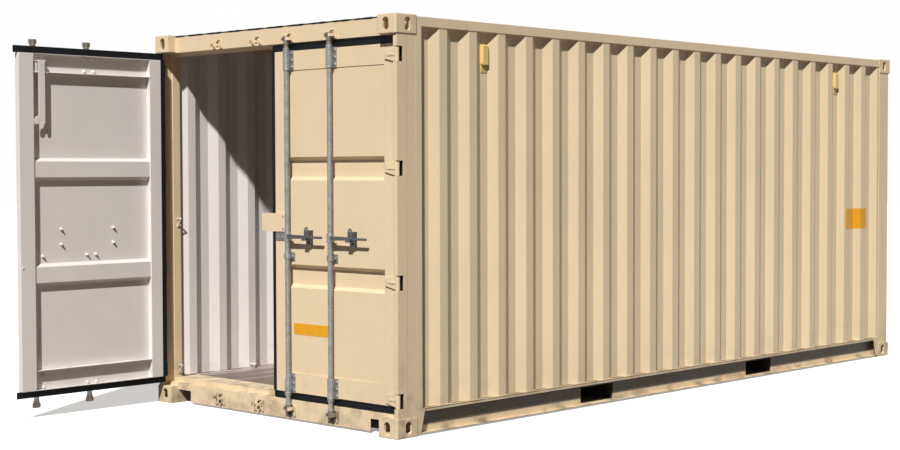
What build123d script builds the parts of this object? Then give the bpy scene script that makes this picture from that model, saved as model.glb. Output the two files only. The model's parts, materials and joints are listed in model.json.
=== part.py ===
from build123d import *
import os
from math import sqrt

# Twenty-foot shipping container with one door leaf standing open.
# Millimetres. X runs along the container, the door end at -X, Z is up from the ground.
# The origin lies on the ground, midway between the four bottom corner castings.
# Round pieces that repeat have a few flats, so that the mesh stays light.
# The corners of a rod and the flats of a hole lie on the true radius.

# Overall box
length = 6058.0
width = 2438.0
height = 2591.0
under_gap = 12.5
roof_drop = 6.0
round_flats = 12
small_flats = 8
small_radius = 10.0
lash_flats = 6

# Corner castings and their apertures
casting_x = 178.0
casting_y = 162.0
casting_z = 118.0
casting_round = 10.0
casting_face_wall = 28.5
casting_outer_wall = 18.0
casting_inner_wall = 11.0
lock_spacing_x = 5853.0
lock_spacing_y = 2259.0
lock_slot_length = 124.0
lock_slot_width = 63.5
lash_slot_height = 79.5
lash_slot_width = 51.0
lash_slot_from_side = 89.0
lash_slot_from_end = 101.5

# Door posts: hot-rolled outer bar and pressed inner channel
skin_inset = 4.0
post_inset = 13.0
outer_bar_length = 113.0
outer_bar_thick = 12.0
inner_channel_thick = 6.0
outer_bar_lip = 33.0
rebate_step = 12.0
rebate_lap = 3.0

# Front posts
front_post_wall = 6.0
front_post_chamfer = 14.0
front_post_side = 50.0

# Rails
top_rail_size = 60.0
top_rail_wall = 3.0
bottom_rail_height = 158.0
bottom_rail_flange = 48.0
bottom_rail_wall = 4.5
rail_gusset_length = 70.0
rail_gusset_thick = 5.0

# Sheets
sheet = 2.0
side_depth = 36.0
side_pitch = 273.0
side_slope = 68.0
side_outer_flat = 70.0
side_edge = 5.0
side_skin_inset = 7.0
front_depth = 45.0
front_pitch = 250.0
front_slope = 24.0
front_outer_flat = 104.0
front_skin_inset = 16.0
roof_depth = 20.0
roof_pitch = 209.0
roof_slope = 14.0
roof_top_flat = 91.0
roof_end_flat = 120.0

# Door end frame
frame_inset = 62.0
sill_height = 125.5
sill_wall = 6.0
sill_notch_width = 140.0
sill_notch_height = 80.0
header_depth = 113.0
header_wall = 4.0
header_lip = 18.0
threshold_rise = 28.0
threshold_length = 130.0
threshold_thick = 5.0

# Floor
floor_thick = 28.0
board_gap = 3.0
board_rows = 3
member_height = 122.0
member_width = 45.0
member_wall = 4.0
member_pitch = 375.0
pocket_width = 360.0
pocket_height = 110.0
pocket_spacing = 2050.0
pocket_wall = 6.0

# Vents and lashing points
vent_height = 178.0
vent_width = 62.0
vent_depth = 22.0
vent_hood_height = 135.0
vent_plate_thick = 3.0
vent_chamfer = 7.0
vent_drop = 79.0
vent_column = 2
lash_rod = 5.0
lash_reach = 38.0
lash_span = 56.0
lash_rise = 26.0
lash_count = 5
lash_column = 2
post_loop_drop = 72.0
post_loop_reach = 42.0
post_loop_from_rebate = 32.0
post_loop_low = 84.0

# Door leaves
hinge_pin_radius = 9.5
hinge_pin_x_inset = 29.0
hinge_pin_y_inset = 22.0
hinge_bore_gap = 0.3
hinge_low_inset = 41.0
hinge_mid_inset = 765.0
hinge_high_inset = 71.0
knuckle_radius = 15.5
knuckle_height = 90.0
knuckle_end_gap = 1.5
lug_thick = 18.0
notch_depth = 34.0
blade_thick = 10.0
blade_length = 102.0
blade_tip_height = 44.0
blade_turn = 4.0
blade_rib = 4.0
blade_rib_height = 14.0
leaf_face_inset = 63.0
leaf_thick = 45.0
leaf_edge_gap = 16.0
leaf_meeting = 17.0
leaf_bottom_gap = 50.0
leaf_top_gap = 52.0
leaf_bottom_rail = 132.0
leaf_top_rail = 126.0
leaf_meeting_stile = 107.0
leaf_hinge_stile = 115.0
leaf_tube_wall = 4.0
panel_setback = 4.0
panel_rib_depth = 32.0
panel_rib_slope = 22.0
panel_rib_height = 150.0
gasket_thick = 6.0
gasket_gap = 5.0
gasket_edge_gap = 4.0
gasket_meeting_lip = 30.0
gasket_depth = 13.0
gasket_lap_gap = 1.0
gasket_bead = 8.0
gasket_bead_rise = 5.0

# Lock plate over the meeting edge
lock_plate_height = 120.0
lock_plate_reach = 112.0
lock_plate_hold = 120.0
lock_plate_thick = 6.0
lock_plate_lift = 4.0
lock_plate_rise = 88.0
lock_plate_round = 10.0

# Locking bars
bar_radius = 17.0
bar_wall = 3.5
bar_stand_off = 24.0
bar_from_meeting = 145.0
bar_edge_room = 174.0
bar_slack = 0.4
bar_below_sill_top = 72.0
bar_above_header = 44.0
cam_radius = 28.0
cam_small_radius = 20.0
cam_thick = 22.0
cam_height = 34.0
cam_taper = 14.0
cam_collar_radius = 20.0
cam_collar_height = 18.0
rest_collar_radius = 22.0
rest_collar_height = 14.0
rest_collar_gap = 1.0
keeper_gap = 2.0
keeper_end_gap = 4.0
keeper_wall = 7.0
keeper_mouth = 44.0
keeper_arm_height = 20.0
keeper_base_width = 96.0
keeper_base_thick = 16.0
keeper_rib = 16.0
keeper_window_edge = 7.0
keeper_sill_edge = 19.5
keeper_header_height = 60.0

# Guides of the bars
guide_wall = 6.0
guide_plate_thick = 4.0
guide_flange = 45.0
guide_back_flange = 30.0
guide_height = 130.0
guide_end_inset = 61.0
guide_ring_height = 8.0
guide_ring_rise = 1.6
guide_slant = 58.0
guide_mid_drop = 130.0
guide_mid_height = 34.0
guide_mid_plate_height = 52.0
guide_boss_radius = 9.0
guide_boss_from_bar = 34.0
guide_boss_rise = 12.0

# Handles and their catches
handle_level = 1212.0
handle_end_gap = 55.0
handle_pivot = 42.0
handle_height = 28.0
handle_tip_height = 20.0
handle_thick = 9.0
handle_grip_radius = 8.0
handle_grip_length = 130.0
handle_pin_radius = 6.0
handle_pin_gap = 0.3
hub_radius = 24.0
hub_height = 56.0
hub_ear_thick = 7.0
hub_ear_gap = 1.0
hub_ear_edge = 4.0
catch_width = 40.0
catch_plate_thick = 5.0
catch_lip_thick = 3.0
catch_slack = 5.0
catch_under_gap = 3.0
catch_back_rise = 16.0
catch_eye_radius = 16.0
catch_eye_hole = 6.5
catch_eye_rise = 50.0
catch_eye_thick = 6.0
catch_foot_height = 32.0
catch_foot_depth = 26.0
catch_bolt_radius = 10.0
catch_bolt_rise = 9.0

# The left leaf stands open by this angle
left_open = 90.0

# Places worked out from the sizes above
end_x = length / 2
side_y = width / 2
castings_inner_x = end_x - casting_x
castings_inner_y = side_y - casting_y
post_bottom = casting_z
post_top = height - casting_z
deck = height - roof_drop - sheet
skin_y = side_y - skin_inset
post_front = -(end_x - post_inset)
post_lip_y = skin_y - outer_bar_lip
opening_y = post_lip_y - rebate_step
rebate_x = post_front + outer_bar_length - outer_bar_thick + rebate_lap
frame_front = -(end_x - frame_inset)
frame_back = -castings_inner_x
sill_top = under_gap + sill_height
clear_bottom = sill_top + threshold_rise
header_bottom = deck - header_depth
clear_top = header_bottom - header_lip
rail_top = under_gap + bottom_rail_height
top_rail_bottom = deck - top_rail_size
wall_outer_y = side_y - side_skin_inset
front_wall_x = end_x - front_skin_inset
member_bottom = clear_bottom - floor_thick - member_height
floor_bottom = clear_bottom - floor_thick
rail_web_y = skin_y - bottom_rail_flange
pin_x = -(end_x - hinge_pin_x_inset)
pin_y = side_y - hinge_pin_y_inset
leaf_face = -(end_x - leaf_face_inset)
leaf_back = leaf_face + leaf_thick
leaf_edge = post_lip_y - leaf_edge_gap
leaf_bottom = sill_top + leaf_bottom_gap
leaf_top = header_bottom - leaf_top_gap
panel_face = leaf_face + panel_setback
middle_hinges = (leaf_bottom + hinge_mid_inset, leaf_top - hinge_mid_inset)
hinge_heights = (leaf_bottom + hinge_low_inset, *middle_hinges, leaf_top - hinge_high_inset)
bar_x = leaf_face - bar_stand_off
bar_inner = leaf_meeting + bar_from_meeting
bar_outer = (bar_inner + leaf_edge - bar_edge_room) / 2
bar_places = (-bar_outer, -bar_inner, bar_inner, bar_outer)
cam_bottom = sill_top - bar_below_sill_top
cam_top = header_bottom + bar_above_header
guide_low = leaf_bottom + guide_end_inset
guide_high = leaf_top - guide_end_inset
guide_mid = handle_level - guide_mid_drop
handle_x = bar_x - bar_radius - hub_ear_thick / 2 - hub_ear_gap
handle_length = bar_outer - bar_inner - handle_end_gap
catch_from_bar = (handle_pivot + handle_length) / 2
lock_plate_level = handle_level + lock_plate_rise
threshold_end = frame_back + threshold_length
side_start = -castings_inner_x + side_edge
side_count = int((2 * castings_inner_x - side_edge + side_outer_flat) // side_pitch)
front_count = int((2 * castings_inner_y + front_outer_flat) // front_pitch)
roof_count = int((2 * castings_inner_x - 2 * roof_end_flat) // roof_pitch)


def block(x0, x1, y0, y1, z0, z1):
    """A box between two corners."""
    middle = ((x0 + x1) / 2, (y0 + y1) / 2, (z0 + z1) / 2)
    return Pos(*middle) * Box(abs(x1 - x0), abs(y1 - y0), abs(z1 - z0))


def upright(points, z0, z1):
    """A plan outline raised from z0 to z1."""
    face = make_face(Polyline(*points, close=True))
    return Pos(0, 0, z0) * extrude(face, amount=z1 - z0, dir=(0, 0, 1))


def crosswise(points, y0, y1):
    """An (x, z) outline run along Y."""
    face = Plane.XZ * make_face(Polyline(*points, close=True))
    return Pos(0, y0, 0) * extrude(face, amount=y1 - y0, dir=(0, 1, 0))


def lengthwise(points, x0, x1):
    """A (y, z) outline run along X."""
    face = Plane.YZ * make_face(Polyline(*points, close=True))
    return Pos(x0, 0, 0) * extrude(face, amount=x1 - x0, dir=(1, 0, 0))


def circle_with_flats(radius, outside):
    """Outline of a rod, or of a hole: its flats lie outside the circle and face a rod's corners."""
    flats = int(small_flats if radius <= small_radius else round_flats)
    outline = RegularPolygon(radius, flats, major_radius=not outside)
    return Rot(0, 0, 180 / flats) * outline if outside else outline


def slot_with_flats(span, across):
    """Outline of a long hole whose round ends have a few flats."""
    end = circle_with_flats(across / 2, True)
    run = (span - across) / 2
    return Rectangle(2 * run, across) + Pos(run, 0, 0) * end + Pos(-run, 0, 0) * end


def rod_z(x, y, radius, z0, z1):
    """An upright rod."""
    return Pos(x, y, z0) * extrude(circle_with_flats(radius, False), amount=z1 - z0)


def bore_z(x, y, radius, z0, z1):
    """The space of an upright hole."""
    return Pos(x, y, z0) * extrude(circle_with_flats(radius, True), amount=z1 - z0)


def rod_x(x0, x1, y, z, radius):
    """A rod along X."""
    return Pos(x0, y, z) * Rot(0, 90, 0) * extrude(circle_with_flats(radius, False), amount=x1 - x0)


def bore_x(x0, x1, y, z, radius):
    """The space of a hole along X."""
    return Pos(x0, y, z) * Rot(0, 90, 0) * extrude(circle_with_flats(radius, True), amount=x1 - x0)


def mirrored_y(shape):
    """The same shape on the other side of the long centre plane."""
    return mirror(shape, about=Plane.XZ)


def zigzag(start, count, pitch, outer_flat, slope, outer, inner):
    """Line of a folded sheet as (along, across) points, one dip after another."""
    inner_flat = pitch - outer_flat - 2 * slope
    points = []
    for i in range(count):
        at = start + i * pitch
        points.append((at, outer))
        points.append((at + slope, inner))
        points.append((at + slope + inner_flat, inner))
        points.append((at + 2 * slope + inner_flat, outer))
    return points


def centred(count, pitch, outer_flat):
    """Where the first dip starts when the dips are centred."""
    return -(count * pitch - outer_flat) / 2


def dip_middle(column):
    """X of the middle of one dip of the side wall."""
    inner_flat = side_pitch - side_outer_flat - 2 * side_slope
    return side_start + column * side_pitch + side_slope + inner_flat / 2


def sheet_outline(line, thick, low, high):
    """Closed outline of a folded sheet that runs from low to high, thickened across."""
    first = (low, line[0][1])
    last = (high, line[-1][1])
    outer = [first] + line + [last]
    inner = [(a, b - thick) for a, b in reversed(outer)]
    return outer + inner


def save(name, *solids):
    """Write one node."""
    parts = [s for item in solids for s in item.solids()]
    shape = parts[0] if len(parts) == 1 else Compound(children=parts)
    shape.label = name
    export_step(shape, f"parts/{name}.step")


def corner_casting(x_sign, y_sign, top):
    """One cast corner box with its three apertures."""
    x0, x1 = castings_inner_x, end_x
    y0, y1 = castings_inner_y, side_y
    body = block(x0, x1, y0, y1, 0, casting_z)
    outer_edge = body.edges().filter_by(Axis.Z).group_by(Axis.X)[-1].sort_by(Axis.Y)[-1]
    body = fillet(outer_edge, casting_round)
    cavity = block(
        x0 + casting_inner_wall, x1 - casting_outer_wall,
        y0 + casting_inner_wall, y1 - casting_outer_wall,
        casting_face_wall, casting_z - casting_inner_wall,
    )
    lock = Pos(lock_spacing_x / 2, lock_spacing_y / 2, 0) * extrude(
        SlotOverall(lock_slot_length, lock_slot_width), amount=casting_face_wall
    )
    end_plane = Plane(
        origin=(x1, side_y - lash_slot_from_side, casting_z / 2), x_dir=(0, 0, 1), z_dir=(1, 0, 0)
    )
    end_slot = extrude(
        end_plane * slot_with_flats(lash_slot_height, lash_slot_width), amount=-casting_outer_wall
    )
    side_plane = Plane(
        origin=(end_x - lash_slot_from_end, y1, casting_z / 2), x_dir=(0, 0, 1), z_dir=(0, 1, 0)
    )
    side_slot = extrude(
        side_plane * slot_with_flats(lash_slot_height, lash_slot_width), amount=-casting_outer_wall
    )
    body = body - cavity - lock - end_slot - side_slot
    if top:
        body = Pos(0, 0, height) * mirror(body, about=Plane.XY)
    if x_sign < 0:
        body = mirror(body, about=Plane.YZ)
    if y_sign < 0:
        body = mirrored_y(body)
    return body


def castings(top):
    """The four castings of one level."""
    return [corner_casting(x, y, top) for x in (-1, 1) for y in (-1, 1)]


def door_post():
    """Left door post: outer bar with a lip, inner channel with the rebate, notched at the hinges."""
    bar = upright(
        [
            (post_front, skin_y),
            (post_front + outer_bar_length, skin_y),
            (post_front + outer_bar_length, skin_y - outer_bar_thick),
            (post_front + outer_bar_thick, skin_y - outer_bar_thick),
            (post_front + outer_bar_thick, post_lip_y),
            (post_front, post_lip_y),
        ],
        post_bottom, post_top,
    )
    t = inner_channel_thick
    x_lip = post_front + outer_bar_thick
    x_end = -castings_inner_x
    channel = upright(
        [
            (x_lip, post_lip_y),
            (rebate_x, post_lip_y),
            (rebate_x, opening_y),
            (x_end, opening_y),
            (x_end, skin_y),
            (post_front + outer_bar_length, skin_y),
            (post_front + outer_bar_length, skin_y - t),
            (x_end - t, skin_y - t),
            (x_end - t, opening_y + t),
            (rebate_x + t, opening_y + t),
            (rebate_x + t, post_lip_y + t),
            (x_lip, post_lip_y + t),
        ],
        post_bottom, post_top,
    )
    post = bar + channel
    half = knuckle_height / 2 + knuckle_end_gap
    for level in hinge_heights:
        for side in (-1, 1):
            near = level + side * half
            far = near + side * lug_thick
            post += block(
                x_lip, pin_x + notch_depth, post_lip_y + t, skin_y - outer_bar_thick,
                min(near, far), max(near, far),
            )
        post -= block(
            post_front, pin_x + notch_depth, post_lip_y, skin_y, level - half, level + half
        )
        post -= rod_z(
            pin_x, pin_y, hinge_pin_radius, level - half - lug_thick, level + half + lug_thick
        )
    return post


def hinge_pins():
    """The four pins of the left door post."""
    half = knuckle_height / 2 + knuckle_end_gap + lug_thick
    return [rod_z(pin_x, pin_y, hinge_pin_radius, z - half, z + half) for z in hinge_heights]


def front_post():
    """Left post of the closed end, a pressed hollow section."""
    x_end = end_x - post_inset
    back = front_wall_x - front_depth - front_post_wall
    outline = [
        (castings_inner_x, skin_y),
        (x_end - front_post_chamfer, skin_y),
        (x_end, skin_y - front_post_chamfer),
        (x_end, castings_inner_y),
        (back, castings_inner_y),
        (castings_inner_x, skin_y - front_post_side),
    ]
    face = make_face(Polyline(*outline, close=True))
    hollow = offset(face, -front_post_wall, kind=Kind.INTERSECTION)
    return Pos(0, 0, post_bottom) * extrude(face - hollow, amount=post_top - post_bottom)


def top_side_rail():
    """Left top rail, a square tube."""
    x = castings_inner_x
    y0, y1 = skin_y - top_rail_size, skin_y
    z0, z1 = top_rail_bottom, deck
    w = top_rail_wall
    return block(-x, x, y0, y1, z0, z1) - block(-x, x, y0 + w, y1 - w, z0 + w, z1 - w)


def bottom_side_rail():
    """Left bottom rail, a channel open to the outside, in three lengths between the fork pockets."""
    x0, x1 = -castings_inner_x, castings_inner_x
    w = bottom_rail_wall
    rail = block(x0, x1, rail_web_y, skin_y, under_gap, rail_top)
    rail -= block(x0, x1, rail_web_y + w, skin_y, under_gap + w, rail_top - w)
    for side in (-1, 1):
        middle = side * pocket_spacing / 2
        rail -= block(
            middle - pocket_width / 2, middle + pocket_width / 2,
            rail_web_y, skin_y, under_gap, rail_top,
        )
        end = side * castings_inner_x
        inner = end - side * rail_gusset_length
        rail += crosswise(
            [
                (end, under_gap + w), (end, rail_top - w),
                (inner, rail_top - w), (end - side * rail_gusset_length / 2, under_gap + w),
            ],
            skin_y - rail_gusset_thick, skin_y,
        )
    return rail


def pocket_rail_edges():
    """The flanges and web edges that carry the left bottom rail past its fork pockets."""
    w = bottom_rail_wall
    pocket_top = floor_bottom - pocket_wall
    pocket_bottom = pocket_top - pocket_height
    edges = []
    for side in (-1, 1):
        x0 = side * pocket_spacing / 2 - pocket_width / 2
        x1 = x0 + pocket_width
        over = block(x0, x1, rail_web_y, rail_web_y + w, pocket_top, rail_top)
        under = block(x0, x1, rail_web_y, rail_web_y + w, under_gap, pocket_bottom)
        edges.append(over + block(x0, x1, rail_web_y, skin_y, rail_top - w, rail_top))
        edges.append(under + block(x0, x1, rail_web_y, skin_y, under_gap, under_gap + w))
    return edges


def side_wall():
    """Left corrugated wall."""
    outer = wall_outer_y
    line = zigzag(
        side_start, side_count, side_pitch, side_outer_flat, side_slope, outer, outer - side_depth
    )
    outline = sheet_outline(line, sheet, -castings_inner_x, castings_inner_x)
    return upright(outline, rail_top, top_rail_bottom)


def front_wall():
    """Corrugated wall of the closed end."""
    start = centred(front_count, front_pitch, front_outer_flat)
    inner = front_wall_x - front_depth
    line = zigzag(
        start, front_count, front_pitch, front_outer_flat, front_slope, front_wall_x, inner
    )
    outline = sheet_outline(line, sheet, -castings_inner_y, castings_inner_y)
    points = [(b, a) for a, b in outline]
    return upright(points, rail_top, top_rail_bottom)


def roof():
    """Roof sheet with ridges across."""
    start = centred(roof_count, roof_pitch, roof_top_flat)
    line = zigzag(
        start, roof_count, roof_pitch, roof_top_flat, roof_slope, deck, deck - roof_depth
    )
    outline = sheet_outline(line, sheet, -castings_inner_x, castings_inner_x)
    edge = skin_y - top_rail_size
    return crosswise(outline, -edge, edge)


def front_top_rail():
    """Square tube and roof plate between the top castings of the closed end."""
    x1 = front_wall_x
    x0 = x1 - top_rail_size
    z0 = top_rail_bottom
    w = top_rail_wall
    y = castings_inner_y
    rail = block(x0, x1, -y, y, z0, deck) - block(x0 + w, x1 - w, -y, y, z0 + w, deck - w)
    return rail + block(castings_inner_x, x0, -y, y, deck - w, deck)


def front_bottom_rail():
    """Channel between the bottom castings of the closed end."""
    x1 = front_wall_x
    x0 = x1 - bottom_rail_flange
    w = bottom_rail_wall
    y = castings_inner_y
    rail = block(x0, x1, -y, y, under_gap, rail_top)
    return rail - block(x0 + w, x1, -y, y, under_gap + w, rail_top - w)


def keeper_levels(low):
    """Lowest and highest level of a keeper, then of the cam inside it."""
    if low:
        return (
            under_gap + keeper_sill_edge, cam_bottom + cam_height + keeper_end_gap,
            cam_bottom, cam_bottom + cam_height,
        )
    return (
        cam_top - cam_height - keeper_end_gap, header_bottom + keeper_header_height,
        cam_top - cam_height, cam_top,
    )


def keeper_cut(y, low, wall):
    """Opening in the sill or header that a keeper sits in."""
    half = keeper_base_width / 2
    z0, z1, _, _ = keeper_levels(low)
    return block(frame_front, frame_front + wall, y - half, y + half, z0, z1)


def door_sill():
    """Bottom member of the door frame with its end notches and keeper openings."""
    x0, x1 = frame_front, frame_back
    y = castings_inner_y
    w = sill_wall
    sill = block(x0, x1, -y, y, under_gap, sill_top)
    sill -= block(x0 + w, x1 - w, -y, y, under_gap, sill_top - w)
    notch_top = under_gap + sill_notch_height
    for side in (-1, 1):
        sill -= block(
            x0, x0 + w, side * y, side * (y - sill_notch_width), under_gap, notch_top
        )
        sill += block(x0, rebate_x, side * y, side * post_lip_y, casting_z, sill_top)
        sill += block(rebate_x, x1, side * y, side * opening_y, casting_z, sill_top)
    step = block(rebate_x, x1, -opening_y, opening_y, sill_top, clear_bottom)
    sill += step - block(
        rebate_x + w, x1, -opening_y, opening_y, sill_top, clear_bottom - threshold_thick
    )
    for place in bar_places:
        sill -= keeper_cut(place, True, w)
    return sill


def door_header():
    """Top member of the door frame with its lower lip and keeper openings."""
    x0, x1 = frame_front, frame_back
    y = castings_inner_y
    w = header_wall
    header = block(x0, x1, -y, y, header_bottom, deck)
    header -= block(x0 + w, x1 - w, -y, y, header_bottom + w, deck - w)
    for side in (-1, 1):
        header += block(x0, rebate_x, side * y, side * post_lip_y, header_bottom, post_top)
        header += block(rebate_x, x1, side * y, side * opening_y, header_bottom, post_top)
    header += block(rebate_x, x1, -opening_y, opening_y, clear_top, header_bottom)
    for place in bar_places:
        header -= keeper_cut(place, False, w)
    return header


def threshold():
    """Steel plate between the sill and the floor boards."""
    return block(
        frame_back, threshold_end, -rail_web_y, rail_web_y,
        clear_bottom - threshold_thick, clear_bottom,
    )


def floor():
    """Plywood boards, two across."""
    x0 = threshold_end
    x1 = front_wall_x - front_depth - sheet - board_gap
    y1 = rail_web_y - board_gap
    y2 = castings_inner_y - board_gap
    step = (x1 - x0) / board_rows
    boards = []
    for i in range(board_rows):
        for side in (-1, 1):
            board = block(
                x0 + i * step, x0 + (i + 1) * step - board_gap,
                side * board_gap / 2, side * y1, floor_bottom, clear_bottom,
            )
            board -= block(
                castings_inner_x - board_gap, x1, side * y2, side * y1, floor_bottom, clear_bottom
            )
            boards.append(board)
    return boards


def member_places():
    """X of the cross-members, leaving out those inside the fork pockets."""
    first = frame_back + member_width
    last = castings_inner_x - member_width
    steps = round((last - first) / member_pitch)
    places = []
    for i in range(steps + 1):
        x = first + i * (last - first) / steps
        near = min(abs(x - pocket_spacing / 2), abs(x + pocket_spacing / 2))
        if near > pocket_width / 2 + pocket_wall + member_width:
            places.append(x)
    return places


def cross_members():
    """Channels under the floor between the bottom rails."""
    y = rail_web_y
    z0 = member_bottom
    z1 = floor_bottom
    w = member_wall
    out = []
    for x in member_places():
        channel = block(x - member_width / 2, x + member_width / 2, -y, y, z0, z1)
        channel -= block(x - member_width / 2 + w, x + member_width / 2, -y, y, z0 + w, z1 - w)
        out.append(channel)
    return out


def fork_pockets():
    """Side plates of the two tunnels for fork tines, and their top and bottom plates."""
    w = pocket_wall
    z1 = floor_bottom - w
    z0 = z1 - pocket_height
    y = rail_web_y
    sides = []
    plates = []
    for side in (-1, 1):
        x0 = side * pocket_spacing / 2 - pocket_width / 2
        x1 = x0 + pocket_width
        sides.append(block(x0 - w, x0, -y, y, z0, z1))
        sides.append(block(x1, x1 + w, -y, y, z0, z1))
        plates.append(block(x0 - w, x1 + w, -y, y, z1, z1 + w))
        plates.append(block(x0 - w, x1 + w, -y, y, z0 - w, z0))
    return sides, plates


def vent(x, y_sign):
    """One ventilator in a recess of the side wall: a plate, and a hood open at its foot."""
    inner = wall_outer_y - side_depth
    top = top_rail_bottom - vent_drop
    x0, x1 = x - vent_width / 2, x + vent_width / 2
    w = vent_plate_thick
    foot = top - vent_hood_height
    hood = block(x0, x1, inner, inner + vent_depth, foot, top)
    front = hood.faces().sort_by(Axis.Y)[-1]
    hood = chamfer(front.edges(), vent_chamfer)
    hood -= lengthwise(
        [(inner, foot), (inner + vent_depth, foot), (inner, foot + vent_depth)], x0, x1
    )
    hood -= block(x0 + w, x1 - w, inner, inner + vent_depth - w, foot, foot + vent_depth)
    cover = hood + block(x0, x1, inner, inner + w, top - vent_height, top)
    return cover if y_sign > 0 else mirrored_y(cover)


def vents():
    """Two covers on each side wall."""
    columns = (vent_column, side_count - 1 - vent_column)
    return [vent(dip_middle(c), side) for c in columns for side in (-1, 1)]


def bent_rod(a, b, c):
    """A rod bent from a to c by way of b."""
    path = Polyline(a, b, c)
    section = Plane(origin=a, z_dir=path % 0) * RegularPolygon(lash_rod, int(lash_flats))
    return sweep(section, path, transition=Transition.RIGHT)


def lashing_loop(x, y_sign):
    """A bent rod on the inner side of the wall, just above the bottom rail."""
    z = rail_top + lash_rise
    y_wall = wall_outer_y - side_depth - sheet
    half = lash_span / 2
    run_in = 2 * lash_rod
    loop = bent_rod(
        (x - half, y_wall + run_in, z), (x, y_wall - lash_reach, z), (x + half, y_wall + run_in, z)
    )
    loop -= block(x - 2 * half, x + 2 * half, y_wall, y_wall + 2 * run_in, z - run_in, z + run_in)
    return loop if y_sign > 0 else mirrored_y(loop)


def post_loop(z, y_sign):
    """A bent rod on the inner face of a door post, level at the top and sloping back below."""
    x = rebate_x + post_loop_from_rebate
    run_in = 2 * lash_rod
    low = z - post_loop_drop
    loop = bent_rod(
        (x, opening_y + run_in, z), (x, opening_y - post_loop_reach, z), (x, opening_y + run_in, low)
    )
    loop -= block(
        x - run_in, x + run_in, opening_y, opening_y + 2 * run_in, low - run_in, z + run_in
    )
    return loop if y_sign > 0 else mirrored_y(loop)


def lashing_loops():
    """Lashing points along both walls and on the door posts."""
    step = (side_count - 1 - 2 * lash_column) // (lash_count - 1)
    out = []
    for side in (-1, 1):
        for i in range(lash_count):
            out.append(lashing_loop(dip_middle(lash_column + i * step), side))
        for z in (clear_bottom + post_loop_low, lock_plate_level):
            out.append(post_loop(z, side))
    return out


def leaf_frame():
    """Frame of the left leaf, closed position: two upright tubes, and channels open to the inside."""
    w = leaf_tube_wall
    y0, y1 = leaf_meeting, leaf_edge
    y2, y3 = y0 + leaf_meeting_stile, y1 - leaf_hinge_stile
    z0, z1 = leaf_bottom, leaf_top
    frame = block(leaf_face, leaf_back, y0, y1, z0, z1)
    frame -= block(leaf_face, leaf_back, y2, y3, z0 + leaf_bottom_rail, z1 - leaf_top_rail)
    frame -= block(leaf_face + w, leaf_back, y2, y3, z0 + w, z0 + leaf_bottom_rail - w)
    frame -= block(leaf_face + w, leaf_back, y2, y3, z1 - leaf_top_rail + w, z1 - w)
    frame -= block(leaf_face + w, leaf_back - w, y0 + w, y2 - w, z0 + w, z1 - w)
    frame -= block(leaf_face + w, leaf_back - w, y3 + w, y1 - w, z0 + w, z1 - w)
    return frame


def leaf_panel():
    """Sheet of the left leaf with two pressed channels, closed position."""
    y0, y1 = leaf_meeting + leaf_meeting_stile, leaf_edge - leaf_hinge_stile
    z0, z1 = leaf_bottom + leaf_bottom_rail, leaf_top - leaf_top_rail
    x = panel_face
    deep = x + panel_rib_depth
    line = [(x, z0)]
    for level in middle_hinges:
        half = panel_rib_height / 2
        line.append((x, level - half))
        line.append((deep, level - half + panel_rib_slope))
        line.append((deep, level + half - panel_rib_slope))
        line.append((x, level + half))
    line.append((x, z1))
    back = [(a + sheet, b) for a, b in reversed(line)]
    return crosswise(line + back, y0, y1)


def gasket(first):
    """Rubber seal of a leaf with a raised bead, closed position.

    The leaf that shuts first has it further in, bare at its meeting edge and flat at the lap."""
    y0, y1 = leaf_meeting - gasket_meeting_lip, post_lip_y - gasket_edge_gap
    z0, z1 = sill_top + gasket_gap, header_bottom - gasket_gap
    x0 = leaf_face + gasket_depth
    if first:
        x0 += gasket_thick + gasket_lap_gap
    front = x0 - gasket_bead_rise
    back = x0 + gasket_thick
    b = gasket_bead
    bead = block(front, x0, y0, y1, z0, z1) - block(front, x0, y0 + b, y1 - b, z0 + b, z1 - b)
    seal = block(x0, back, y0, y1, z0, z1) + bead
    seal -= block(front, back, leaf_meeting, leaf_edge, leaf_bottom, leaf_top)
    if first:
        seal -= block(front, x0, y0, gasket_lap_gap - y0, z0, z1)
        return seal - block(front, back, y0, leaf_meeting, leaf_bottom, leaf_top)
    return seal + block(leaf_face, back, y0, leaf_meeting, leaf_bottom, leaf_top)


def hinge_blade(level):
    """One hinge: knuckle round the pin and a cranked, tapered blade on the leaf, closed position."""
    z0 = level - knuckle_height / 2
    z1 = level + knuckle_height / 2
    out_x = leaf_face - blade_thick
    tip_y = leaf_edge - blade_length
    turn_y = leaf_edge - blade_turn
    half = blade_thick / 2
    plate = upright(
        [
            (leaf_face, tip_y),
            (leaf_face, turn_y),
            (pin_x + half * sqrt(2), pin_y),
            (pin_x, pin_y),
            (pin_x - half, pin_y - half),
            (out_x, turn_y - half),
            (out_x, tip_y),
        ],
        z0, z1,
    )
    corner = (knuckle_height - blade_tip_height) / 2
    for side in (-1, 1):
        edge = level + side * knuckle_height / 2
        plate -= lengthwise(
            [(tip_y, edge), (leaf_edge, edge), (tip_y, edge - side * corner)],
            out_x, leaf_face,
        )
    rib = upright(
        [
            (out_x, tip_y + blade_turn),
            (out_x, turn_y - half),
            (out_x - blade_rib, turn_y - half),
            (out_x - blade_rib, leaf_edge - blade_length / 2),
        ],
        level - blade_rib_height / 2, level + blade_rib_height / 2,
    )
    blade = plate + rib + rod_z(pin_x, pin_y, knuckle_radius, z0, z1)
    return blade - bore_z(pin_x, pin_y, hinge_pin_radius + hinge_bore_gap, z0, z1)


def guide_sleeve(y, z0, z1, seat):
    """Half-round saddle from the leaf round a bar, before its bore."""
    outer = bar_radius + bar_slack + guide_wall
    return rod_z(bar_x, y, outer, z0, z1) + block(bar_x, seat, y - outer, y + outer, z0, z1)


def guide_bore(y, z0, z1):
    """Running hole of a guide."""
    return bore_z(bar_x, y, bar_radius + bar_slack, z0, z1)


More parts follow.
